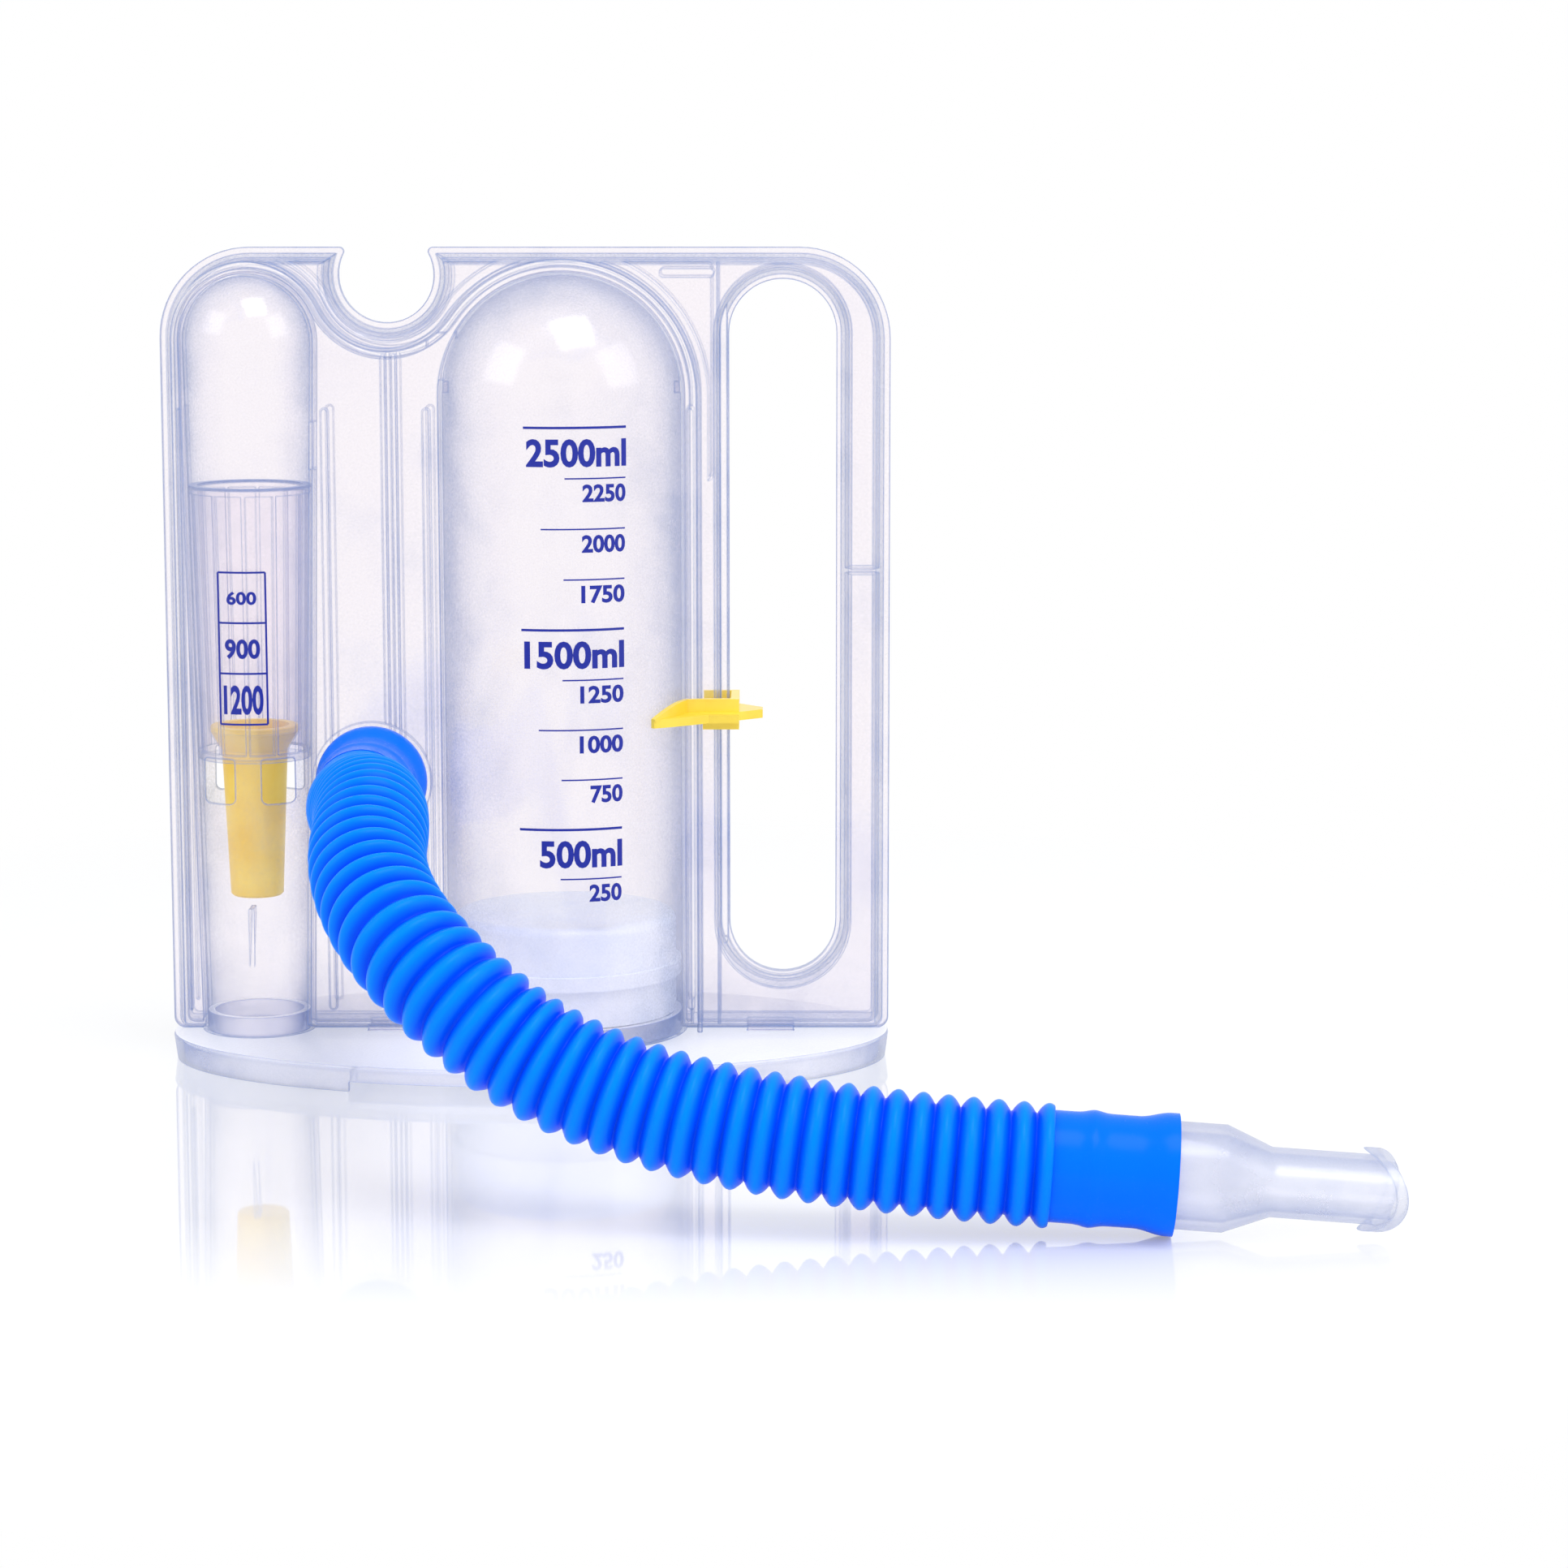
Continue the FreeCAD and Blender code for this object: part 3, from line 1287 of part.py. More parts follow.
def mouthpiece():
    """The mouthpiece, drawn along X from the cuff's mouth: a plug for the cuff, a shoulder,
    a throat that turns from round to oval, and an oval tube with a bowed, lipped rim."""
    throat_end = s.shoulder_length + s.throat_length
    end = s.mouth_length + 1
    plug = primitive("Cone", "mouth_plug_solid", at=(-s.mouth_plug, 0, 0), turn=SIDEWAYS,
                     Radius1=s.cone_radius - s.cone_draft, Radius2=s.cone_radius, Height=s.mouth_plug)
    shoulder = primitive("Cylinder", "mouth_shoulder", turn=SIDEWAYS,
                         Radius=s.shoulder_radius, Height=s.shoulder_length)
    throat = mouth_loft("mouth_throat", mouth_round("throat_round", s.shoulder_length, s.shoulder_radius),
                        mouth_oval("throat_oval", throat_end, 0))
    tube = mouth_loft("mouth_tube", mouth_oval("tube_back", throat_end, 0),
                      mouth_oval("tube_front", end, 0))
    wide = mouth_loft("mouth_lip_block", mouth_oval("lip_back", throat_end, s.lip_rise),
                      mouth_oval("lip_front", end, s.lip_rise))
    lip = cut("mouth_lip", wide, nose_block("behind_lip", s.lip_width))
    outside = shared("mouth_outside", fuse("mouth_solid", plug, shoulder, throat, tube, lip),
                     nose_block("behind_rim", 0))
    bore = primitive("Cylinder", "mouth_bore_round", at=(-s.mouth_plug - 1, 0, 0), turn=SIDEWAYS,
                     Radius=s.mouth_bore_radius, Height=s.mouth_plug + s.shoulder_length + 1)
    funnel = mouth_loft("mouth_bore_throat",
                        mouth_round("bore_round", s.shoulder_length, s.mouth_bore_radius),
                        mouth_oval("bore_oval", throat_end, -s.mouth_wall))
    channel = mouth_loft("mouth_bore_oval", mouth_oval("bore_back", throat_end, -s.mouth_wall),
                         mouth_oval("bore_front", end + 1, -s.mouth_wall))
    part = cut("mouthpiece", outside, bore, funnel, channel)
    part.Label = "mouthpiece"
    run, hose_end = last_run()
    at = hose_end + run * s.cuff_length.value
    turn = FreeCAD.Rotation(FreeCAD.Vector(1, 0, 0), run)
    return place(part, tuple(at), turn)


# Assembly

whole = housing()
parts = [
    front_shell(whole),
    rear_shell(whole),
    foot(),
    flow_tube(),
    flow_float(),
    volume_piston(),
    goal_pointer(),
    hose_port_cuff(),
    breathing_hose(),
    hose_mouth_cuff(),
    mouthpiece(),
]
doc.recompute()

for thing in doc.Objects:
    if "Invalid" in thing.State or "Error" in thing.State:
        raise RuntimeError("%s is not built: %s" % (thing.Name, thing.State))
for part in parts:
    if part.Shape.isNull() or not part.Shape.isValid():
        raise RuntimeError("%s has no valid shape" % part.Label)

os.makedirs("parts", exist_ok=True)
for part in parts:
    bounds = part.Shape.BoundBox
    print("%-16s solids %d volume %8.0f  x %7.1f %7.1f  y %7.1f %7.1f  z %7.1f %7.1f"
          % (part.Label, len(part.Shape.Solids), part.Shape.Volume, bounds.XMin, bounds.XMax,
             bounds.YMin, bounds.YMax, bounds.ZMin, bounds.ZMax))
    part.Shape.exportStep("parts/%s.step" % part.Label)
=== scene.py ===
# %% [markdown]
# # A breathing trainer in clear plastic
#
# This file dresses a ward's breathing trainer: a clear two-part housing on an oval foot, a wide
# chamber whose piston shows the volume that was drawn in, a narrow chamber whose float shows how
# fast, a yellow goal pointer, and a bright blue corrugated hose with a milky mouthpiece.
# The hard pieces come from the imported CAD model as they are. This script gives them their
# finishes, makes the corrugated hose and the printed scales, and sets the studio round them.

import math

import bmesh
import bpy
import numpy as np
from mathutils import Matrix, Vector


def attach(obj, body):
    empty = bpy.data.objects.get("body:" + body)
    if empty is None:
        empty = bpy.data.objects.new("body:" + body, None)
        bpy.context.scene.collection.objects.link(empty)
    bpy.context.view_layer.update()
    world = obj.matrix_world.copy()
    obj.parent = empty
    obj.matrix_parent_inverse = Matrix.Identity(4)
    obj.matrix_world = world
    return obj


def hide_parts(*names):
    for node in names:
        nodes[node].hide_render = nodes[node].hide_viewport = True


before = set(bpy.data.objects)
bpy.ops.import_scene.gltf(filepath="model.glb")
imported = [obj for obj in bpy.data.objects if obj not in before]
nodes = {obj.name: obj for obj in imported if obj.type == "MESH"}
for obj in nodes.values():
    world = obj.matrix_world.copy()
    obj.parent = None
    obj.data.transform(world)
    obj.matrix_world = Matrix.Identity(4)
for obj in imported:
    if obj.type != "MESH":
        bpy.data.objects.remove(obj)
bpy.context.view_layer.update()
scene = bpy.context.scene

# %% [markdown]
# ## The camera
#
# The product picture was taken from a little above the top of the body, with a long lens, a bit
# more than a metre away. The lens follows from how fast things shrink with distance: the hose's
# mouth end lies 15 cm nearer than its port end, so equal rings look about one sixth larger there.
# The camera looks straight along +Y and tips down by its pitch.

# %% Camera
IMAGE_SIDE = 1932
FOCAL_PIXELS = 5330.0
CAMERA_X = 0.0655
CAMERA_DISTANCE = 1.100
CAMERA_HEIGHT = 0.242
CAMERA_PITCH = math.radians(8.85)

camera_data = bpy.data.cameras.new("product_camera")
camera_data.sensor_width = 36.0
camera_data.lens = FOCAL_PIXELS / IMAGE_SIDE * camera_data.sensor_width
camera_data.clip_end = 50.0
camera = bpy.data.objects.new("product_camera", camera_data)
camera.location = (CAMERA_X, -CAMERA_DISTANCE, CAMERA_HEIGHT)
camera.rotation_euler = (math.pi / 2 - CAMERA_PITCH, 0.0, 0.0)
scene.collection.objects.link(camera)
scene.camera = camera
print("lens", round(camera_data.lens, 1), "mm")

# %% [markdown]
# ## Shader maths as Python
#
# A material is a small program. Here one class wraps a socket and lets `+`, `-`, `*`, `/` and
# `**` add the Math nodes, so that a mask reads like the formula that it is. The reflected forms
# let a plain number stand first, as in `1.0 - mask`.

# %% Sockets as numbers
class Field:
    """A number that varies over a surface: one output socket with arithmetic."""

    def __init__(self, finish, socket):
        self.finish = finish
        self.socket = socket

    def _math(self, operation, *values):
        made = self.finish.node("ShaderNodeMath", {"operation": operation}, dict(enumerate(values)))
        return Field(self.finish, made.outputs[0])

    def __add__(self, other):
        return self._math("ADD", self, other)

    __radd__ = __add__

    def __sub__(self, other):
        return self._math("SUBTRACT", self, other)

    def __rsub__(self, other):
        return self._math("SUBTRACT", other, self)

    def __mul__(self, other):
        return self._math("MULTIPLY", self, other)

    __rmul__ = __mul__

    def __truediv__(self, other):
        return self._math("DIVIDE", self, other)

    def __pow__(self, other):
        return self._math("POWER", self, other)

    def clamped(self, low, high):
        """The value kept between low and high."""
        return self._math("MAXIMUM", self._math("MINIMUM", self, high), low)

    def ramp(self, low, high):
        """0 below low, 1 above high, and an even rise between them."""
        return ((self - low) / (high - low)).clamped(0.0, 1.0)


print("fields add, subtract, multiply, divide, take powers, clamp and ramp")

# %% [markdown]
# ## A material under construction
#
# Any node comes from `Finish.node`, which takes the node's type, its settings, and the values or
# links of its sockets. The methods after it are the few patterns that the finishes below share.
# The studio's world is built with the same class, as it too is a tree of nodes.

# %% Finishes
GRAIN_ROUGHNESS = 0.55
BEVEL_SAMPLES = 4
WHITE = (1.0, 1.0, 1.0, 1.0)


class Finish:
    """The node tree of a material, or of the world, under construction."""

    def __init__(self, owner, output="ShaderNodeOutputMaterial"):
        self.owner = owner
        self.owner.use_nodes = True
        self.tree = owner.node_tree
        self.tree.nodes.clear()
        self.output = self.node(output)

    def node(self, kind, settings=None, sockets=None):
        """Add a node, set its settings first, then its sockets, by values or by links."""
        made = self.tree.nodes.new(kind)
        for key, value in (settings or {}).items():
            setattr(made, key, value)
        for key, value in (sockets or {}).items():
            self.feed(made.inputs[key], value)
        return made

    def feed(self, socket, value):
        """Link a field or a socket into a socket, or set its own value."""
        if isinstance(value, Field):
            self.tree.links.new(value.socket, socket)
        elif isinstance(value, bpy.types.NodeSocket):
            self.tree.links.new(value, socket)
        else:
            socket.default_value = value

    def place(self):
        """Object coordinates, in metres, the same in every view."""
        return self.node("ShaderNodeTexCoord").outputs["Object"]

    def normal(self):
        """The surface's own normal."""
        return self.node("ShaderNodeNewGeometry").outputs["Normal"]

    def noise(self, scale, detail=3.0):
        """Even-grained noise from 0 to 1."""
        made = self.node("ShaderNodeTexNoise", None, {
            "Vector": self.place(), "Scale": scale, "Detail": detail,
            "Roughness": GRAIN_ROUGHNESS})
        return Field(self, made.outputs["Fac"])

    def facing(self, blend):
        """0 where the surface faces the eye and 1 where it turns away."""
        made = self.node("ShaderNodeLayerWeight", None, {"Blend": blend})
        return Field(self, made.outputs["Facing"])

    def part_of(self, vector, axis):
        """One of the three numbers of a vector: axis is "X", "Y" or "Z"."""
        made = self.node("ShaderNodeSeparateXYZ", None, {"Vector": vector})
        return Field(self, made.outputs[axis])

    def corners(self, width):
        """0 on smooth walls, rising at corners that are less than width away."""
        bevel = self.node("ShaderNodeBevel", {"samples": BEVEL_SAMPLES}, {"Radius": width})
        made = self.node("ShaderNodeVectorMath", {"operation": "DOT_PRODUCT"}, {
            0: bevel.outputs[0], 1: self.normal()})
        return 1.0 - Field(self, made.outputs["Value"])

    def seen(self):
        """1 for what the eye, a mirror or a clear wall sees, and 0 for light on its way."""
        path = self.node("ShaderNodeLightPath")
        kinds = ("Camera", "Glossy", "Transmission")
        rays = [Field(self, path.outputs[f"Is {kind} Ray"]) for kind in kinds]
        return (rays[0] + rays[1] + rays[2]).clamped(0.0, 1.0)

    def blend(self, share, first, second):
        """A colour between two colours."""
        # The Mix node has sockets for each kind of data. Those for colours are 6, 7 and 2.
        made = self.node("ShaderNodeMix", {"data_type": "RGBA"}, {
            "Factor": share, 6: first, 7: second})
        return made.outputs[2]

    def bump(self, height, strength, distance):
        """A normal tilted by a height field."""
        made = self.node("ShaderNodeBump", None, {
            "Height": height, "Strength": strength, "Distance": distance})
        return made.outputs["Normal"]

    def shader(self, kind, sockets):
        """A shader node of that kind with the sockets that a finish needs."""
        return self.node("ShaderNode" + kind, None, sockets).outputs[0]

    def mixed(self, share, first, second):
        """A mix of two shaders."""
        return self.node("ShaderNodeMixShader", None, {0: share, 1: first, 2: second}).outputs[0]

    def done(self, shader):
        """Send the shader to the output and give back the material or world."""
        self.feed(self.output.inputs["Surface"], shader)
        return self.owner


def new_finish(name):
    """An empty finish on a new material."""
    return Finish(bpy.data.materials.new(name))


def linear(code):
    """An sRGB colour written as six hex digits, as the linear value of a colour socket."""
    channels = [int(code[i:i + 2], 16) / 255 for i in (0, 2, 4)]
    return (*[c / 12.92 if c <= 0.04045 else ((c + 0.055) / 1.055) ** 2.4 for c in channels], 1.0)


print("mid grey as a socket value", [round(v, 3) for v in linear("808080")])

# %% [markdown]
# ## Clear moulded plastic
#
# The housing is thin clear styrene. On a white table it is nearly as bright as the background,
# and what draws it is its edges: where the wall turns away from the eye, light has a longer way
# through it, and it goes a cool blue grey. A real refracting wall would need many bounces to get
# that, and would grain. So the wall is treated as a thin sheet: mostly see-through where it faces
# the eye, with a broad soft veil as it turns away, a thin dark line where it is seen edge on, and
# a reflection on top that grows with the fifth power of the turn, as in Schlick's formula, but
# less, because a thin wall has light coming through it from behind. Moulded corners are never
# quite sharp, and each small rounding bends the light away. A Bevel node finds the corners: where
# its rounded normal departs from the real one, the wall gets the edge's colour, which draws every
# rib and step with a fine soft line. Light on its way to something else passes nearly unchanged,
# so that the housing's shadow on the table stays as pale as a clear thing's.
# Each mask does two things: it makes the wall less clear, and it takes its colour from the face's
# towards the edge's. `TINT` says how strongly it does the second.

# %% Clear plastic finishes
CORNER_WIDTH = 0.0006
SOFT_TURN, CLOUD_COVER, CORNER_BEND = (0.06, 0.62), (0.50, 0.78), (0.004, 0.12)
FACING_UP = (0.5, 0.9)
HARD_POWER = 6.0
WALL_ROUGHNESS, WALL_SPECULAR = 0.35, 0.2
WALL_BUMP, BUMP_DEPTH = 0.12, 0.0002
GLOSS_POWER, GLOSS_GAIN, GLOSS_LEAST = 5.0, 0.3, 0.03
CLEAR_COLOUR = (0.988, 0.976, 0.987, 1.0)
SHADOW_COLOUR = (0.975, 0.977, 0.985, 1.0)
GRAIN_SCALE, CLOUD_SCALE = 1900.0, 48.0
# The painted shade close above the foot fades out between these two heights.
FOOT_SHADE_LOW, FOOT_SHADE_HIGH = 0.008, 0.026
RIM_LOW, RIM_HIGH, RIM_SHARE = 0.0017, 0.0013, 0.60
CLOUD_SHARE, GRAIN_BASE = 0.2, 0.35
TINT = {"soft": 0.85, "hard": 0.3, "corner": 0.9, "cloud": 0.5, "foot_shade": 3.0}


def wall_masks(finish):
    """The masks of a clear wall: soft grows early as it turns away and hard only at its very
    edge, corner marks its corners, grain and cloud are its fine and its broad unevenness."""
    turned = finish.facing(0.5)
    return {
        "turned": turned,
        "soft": turned.ramp(*SOFT_TURN),
        "hard": turned ** HARD_POWER,
        "grain": finish.noise(GRAIN_SCALE, 2.0),
        "cloud": finish.noise(CLOUD_SCALE).ramp(*CLOUD_COVER),
        "corner": finish.corners(CORNER_WIDTH).ramp(*CORNER_BEND)}


def clear_plastic(name, veil, broad, thin, lines, face_code, edge_code, roughness, frost,
                  rim=None, low_foot_shade=0.0, top_light=0.0):
    """A thin clear wall. veil is how milky it is face on, broad and thin how much it gains as it
    turns away and at its very edge, lines how dark its corners are, and frost its graininess.
    rim is the height of an upper edge that gathers light from the wall below it, low_foot_shade how
    much painted shade greys the wall close above the foot, and deck how much painted light makes
    it milkier and lighter where it faces up to the lamps."""
    finish = new_finish(name)
    mask = wall_masks(finish)
    level = finish.part_of(finish.place(), "Z")
    # Painted shade: close above the foot the wall is made greyer and bluer.
    mask["foot_shade"] = (1.0 - level.ramp(FOOT_SHADE_LOW, FOOT_SHADE_HIGH)) * low_foot_shade
    share = (mask["soft"] * broad + mask["hard"] * thin + mask["corner"] * lines + veil
             + mask["foot_shade"] + (mask["grain"] - 0.5) * (mask["soft"] + GRAIN_BASE) * frost
             + mask["cloud"] * (frost * CLOUD_SHARE))
    tint = sum(mask[key] * weight for key, weight in TINT.items())
    if rim:
        upper_edge = level.ramp(rim - RIM_LOW, rim - RIM_HIGH)
        share = share + upper_edge * RIM_SHARE
        tint = tint + upper_edge
    # Painted light: where the wall faces up to the lamps it is made milkier and loses the edge's
    # blue.
    if top_light:
        upward = finish.part_of(finish.normal(), "Z").ramp(*FACING_UP)
        share = share + upward * top_light
        tint = tint * (1.0 - upward)
    wall = finish.shader("BsdfPrincipled", {
        "Base Color": finish.blend(tint.clamped(0.0, 1.0), linear(face_code), linear(edge_code)),
        "Roughness": WALL_ROUGHNESS, "Specular IOR Level": WALL_SPECULAR,
        "Normal": finish.bump(mask["grain"], WALL_BUMP, BUMP_DEPTH)})
    clear = finish.shader("BsdfTransparent", {"Color": CLEAR_COLOUR})
    gloss = finish.shader("BsdfGlossy", {"Color": WHITE, "Roughness": roughness})
    mirror = mask["turned"] ** GLOSS_POWER * GLOSS_GAIN + GLOSS_LEAST
    surface = finish.mixed(mirror, finish.mixed(share.clamped(0.0, 1.0), clear, wall), gloss)
    passing = finish.shader("BsdfTransparent", {"Color": SHADOW_COLOUR})
    return finish.done(finish.mixed(finish.seen(), passing, surface))


EDGE_BLUE = "7088BC"
TUBE_RIM = 0.1487
shell_finish = clear_plastic("clear_shell", 0.02, 0.16, 0.25, 0.75, "FBF4FA", EDGE_BLUE,
                             0.14, 0.42, low_foot_shade=0.10)
foot_finish = clear_plastic("clear_foot", 0.30, 0.14, 0.25, 0.60, "F4F5FC", "8C9CCB", 0.08, 0.10,
                            top_light=0.42)
tube_finish = clear_plastic("clear_tube", 0.02, 0.10, 0.25, 0.60, "F8F5FB", EDGE_BLUE,
                            0.08, 0.06, rim=TUBE_RIM)
mouth_finish = clear_plastic("milky_mouthpiece", 0.32, 0.10, 0.15, 0.25, "DCE1EF", "A2AED0",
                             0.16, 0.05)
print("clear finishes", [m.name for m in (shell_finish, foot_finish, tube_finish, mouth_finish)])

# %% [markdown]
# ## Coloured plastic
#
# The float, the pointer and the piston are solid mouldings. Each gets its colour with a faint
# cloud in it, as pigment never spreads quite evenly, a satin surface, and a very shallow bump
# from the mould. The pointer, which is handled most, has a thin gloss on top.

# %% Coloured plastic finishes
PIGMENT_SCALE, MOULD_SCALE = 90.0, 1800.0
PIGMENT_COVER = (0.35, 0.75)
SHEEN_SWING = 0.10
COAT_ROUGHNESS = 0.08


def coloured_plastic(name, code, deep_code, roughness, bump=0.05, coat=0.0):
    """Solid plastic whose colour wanders slowly between code and deep_code."""
    finish = new_finish(name)
    pigment = finish.noise(PIGMENT_SCALE).ramp(*PIGMENT_COVER)
    grain = finish.noise(MOULD_SCALE, 2.0)
    return finish.done(finish.shader("BsdfPrincipled", {
        "Base Color": finish.blend(pigment, linear(code), linear(deep_code)),
        "Roughness": (grain - 0.5) * SHEEN_SWING + roughness,
        "Coat Weight": coat, "Coat Roughness": COAT_ROUGHNESS,
        "Normal": finish.bump(grain, bump, BUMP_DEPTH)}))


float_finish = coloured_plastic("amber_float", "FBD862", "F3C648", 0.38)
pointer_finish = coloured_plastic("yellow_pointer", "FFE24A", "F8D23A", 0.30, coat=0.2)
piston_finish = coloured_plastic("white_piston", "F0F3FB", "E6ECF9", 0.38)
print("coloured finishes", [m.name for m in (float_finish, pointer_finish, piston_finish)])

# %% [markdown]
# ## Dressing the CAD pieces
#
# The CAD pieces come as loose triangles. For a round wall to look round, its triangles have to be
# joined and shaded smoothly, while the moulded edges stay crisp. Two modifiers do that without
# touching a vertex: Weld joins the triangles, and Edge Split parts them again wherever the
# surface turns by more than a set angle.

# %% Finishes and smooth shading on the CAD pieces
CREASE_ANGLE = math.radians(28.0)
JOIN_DISTANCE = 1e-6


def dress(node, material):
    """Give a CAD node its finish and smooth shading with crisp edges."""
    node.data.materials.clear()
    node.data.materials.append(material)
    node.data.polygons.foreach_set("material_index", [0] * len(node.data.polygons))
    node.data.polygons.foreach_set("use_smooth", [True] * len(node.data.polygons))
    weld = node.modifiers.new("joined", "WELD")
    weld.merge_threshold = JOIN_DISTANCE
    split = node.modifiers.new("crisp_edges", "EDGE_SPLIT")
    split.split_angle = CREASE_ANGLE


for name, material, slot in (
        ("front_shell", shell_finish, "clear_shell"),
        ("rear_shell", shell_finish, "clear_shell"),
        ("foot", foot_finish, "clear_shell"),
        ("flow_tube", tube_finish, "clear_shell"),
        ("flow_float", float_finish, "amber_float"),
        ("volume_piston", piston_finish, "white_piston"),
        ("goal_pointer", pointer_finish, "yellow_pointer"),
        ("mouthpiece", mouth_finish, "frosted_mouthpiece")):
    dress(nodes[name], material)
    print(name, len(nodes[name].data.polygons), "triangles")

# %% [markdown]
# ## Blue tubing
#
# The hose is blown from soft bright blue plastic. Its crests catch a pale cyan light and its
# valleys go a deep blue shade, as light scatters about inside the thin wall, and the colour paints
# both in: painted light on the crests and painted shade in the valleys. The colour therefore
# follows the corrugation: the hose mesh carries its own height as an attribute, 1 on a crest and
# 0 in a valley, and the finish reads it.

# %% Blue finishes
BLUE_SPECULAR, BLUE_SHEEN, BLUE_BUMP = 0.05, 0.08, 0.03
BLUE_GRAIN_SCALE, BLUE_CLOUD_SCALE = 900.0, 70.0
BLUE_CLOUD_SWING, BLUE_CLOUD_LEAST = 0.3, 0.7
CREST_POWER = 1.8


def blue_plastic(name, crest_code, valley_code, roughness, relief=None):
    """Soft blue plastic. With relief, the colour follows that attribute from valley to crest,
    as painted shade in the valleys and painted light on the crests.
    """
    finish = new_finish(name)
    grain = finish.noise(BLUE_GRAIN_SCALE)
    if relief:
        height = finish.node("ShaderNodeAttribute", {"attribute_name": relief}).outputs["Fac"]
        # Painted shade and light: valleys take the dark colour and crests the light one.
        share = Field(finish, height) ** CREST_POWER
    else:
        cloud = finish.noise(BLUE_CLOUD_SCALE)
        share = (cloud * BLUE_CLOUD_SWING + BLUE_CLOUD_LEAST).clamped(0.0, 1.0)
    return finish.done(finish.shader("BsdfPrincipled", {
        "Base Color": finish.blend(share, linear(valley_code), linear(crest_code)),
        "Roughness": (grain - 0.5) * BLUE_SHEEN + roughness,
        "Specular IOR Level": BLUE_SPECULAR,
        "Normal": finish.bump(grain, BLUE_BUMP, BUMP_DEPTH)}))


hose_finish = blue_plastic("blue_hose", "0088FF", "004CF4", 0.30, relief="crest")
cuff_finish = blue_plastic("blue_cuff", "0074FF", "0066FA", 0.26)
print("blue finishes", hose_finish.name, cuff_finish.name)

# %% [markdown]
# ## The corrugated hose
#
# The hose leaves the port forwards, droops to the table and runs to the right. Its line is one
# smooth NURBS curve with the same control points as the CAD tube. The curve is drawn by Blender
# and read back as points, and then cut into equal steps.

# %% The hose's line
CURVE_STEPS = 24
CURVE_ORDER = 3

HOSE_POINTS = (
    (-0.0398, -0.0351, 0.0727),
    (-0.0389, -0.0600, 0.0736),
    (-0.0305, -0.0980, 0.0800),
    (-0.0300, -0.1360, 0.0698),
    (-0.0145, -0.1640, 0.0545),
    (0.0178, -0.1742, 0.0308),
    (0.0730, -0.1820, 0.0187),
    (0.1235, -0.1840, 0.0154),
)


def smooth_line(name, points):
    """The points of an open NURBS curve that has the given control points."""
    curve = bpy.data.curves.new(name, "CURVE")
    curve.dimensions = "3D"
    curve.resolution_u = CURVE_STEPS
    spline = curve.splines.new("NURBS")
    spline.points.add(len(points) - 1)
    for control, point in zip(spline.points, points):
        control.co = (*point, 1.0)
    spline.order_u = CURVE_ORDER
    spline.use_endpoint_u = True
    holder = bpy.data.objects.new(name, curve)
    scene.collection.objects.link(holder)
    bpy.context.view_layer.update()
    mesh = bpy.data.meshes.new_from_object(holder)
    line = np.empty(len(mesh.vertices) * 3)
    mesh.vertices.foreach_get("co", line)
    bpy.data.objects.remove(holder)
    bpy.data.curves.remove(curve)
    bpy.data.meshes.remove(mesh)
    return line.reshape(-1, 3)


def lengths_along(line):
    """The distance from a line's start to each of its points."""
    steps = np.linalg.norm(np.diff(line, axis=0), axis=1)
    return np.concatenate([[0.0], np.cumsum(steps)])


def resampled(line, count):
    """The same line with its points at equal distances."""
    along = lengths_along(line)
    wanted = np.linspace(0.0, along[-1], count)
    return np.stack([np.interp(wanted, along, line[:, axis]) for axis in range(3)], axis=1)


hose_line = smooth_line("hose_line", HOSE_POINTS)
hose_length = lengths_along(hose_line)[-1]
print("hose line", len(hose_line), "points,", round(hose_length * 1000, 1), "mm")

# %% [markdown]
# ## Surfaces from grids of points
#
# A tube is a surface in two parameters: the distance along its line, and the angle round it. At
# each point of the line two directions are needed that are square to it and to each other. They
# are carried along without any twist, so that the quads between the rings stay straight. The hose
# and its cuffs are made of such rings and closed by going back along the inside.

# %% Rings along a line
RING_POINTS = 72


def sides_along(line):
    """Side and up vectors at each point of a line. Side starts level and is carried along by
    taking out, at each step, the part of it that points along the line."""
    tangent = np.gradient(line, axis=0)
    tangent /= np.linalg.norm(tangent, axis=1, keepdims=True)
    side = np.empty_like(tangent)
    side[0] = np.cross(tangent[0], (0.0, 0.0, 1.0))
    side[0] /= np.linalg.norm(side[0])
    for index in range(1, len(line)):
        carried = side[index - 1] - tangent[index] * (side[index - 1] @ tangent[index])
        side[index] = carried / np.linalg.norm(carried)
    return side, np.cross(side, tangent)


def rings_round(line, radius, side, up):
    """Rings of points round a line: point + radius (side cos t + up sin t), with t going once
    round."""
    turn = np.linspace(0.0, 2 * np.pi, RING_POINTS, endpoint=False)
    spokes = (np.cos(turn)[None, :, None] * side[:, None, :]
              + np.sin(turn)[None, :, None] * up[:, None, :])
    return line[:, None, :] + radius[:, None, None] * spokes


def ring_mesh(name, rings):
    """A closed smooth mesh of quads over rings of points, the last ring joined to the first."""
    ring_count, columns = rings.shape[:2]
    first, second = np.meshgrid(np.arange(ring_count), np.arange(columns), indexing="ij")
    next_ring = (first + 1) % ring_count
    next_column = (second + 1) % columns
    quads = np.stack([first * columns + second, next_ring * columns + second,
                      next_ring * columns + next_column, first * columns + next_column], axis=-1)
    mesh = bpy.data.meshes.new(name)
    mesh.from_pydata(rings.reshape(-1, 3), [], quads.reshape(-1, 4))
    mesh.polygons.foreach_set("use_smooth", [True] * len(mesh.polygons))
    return mesh


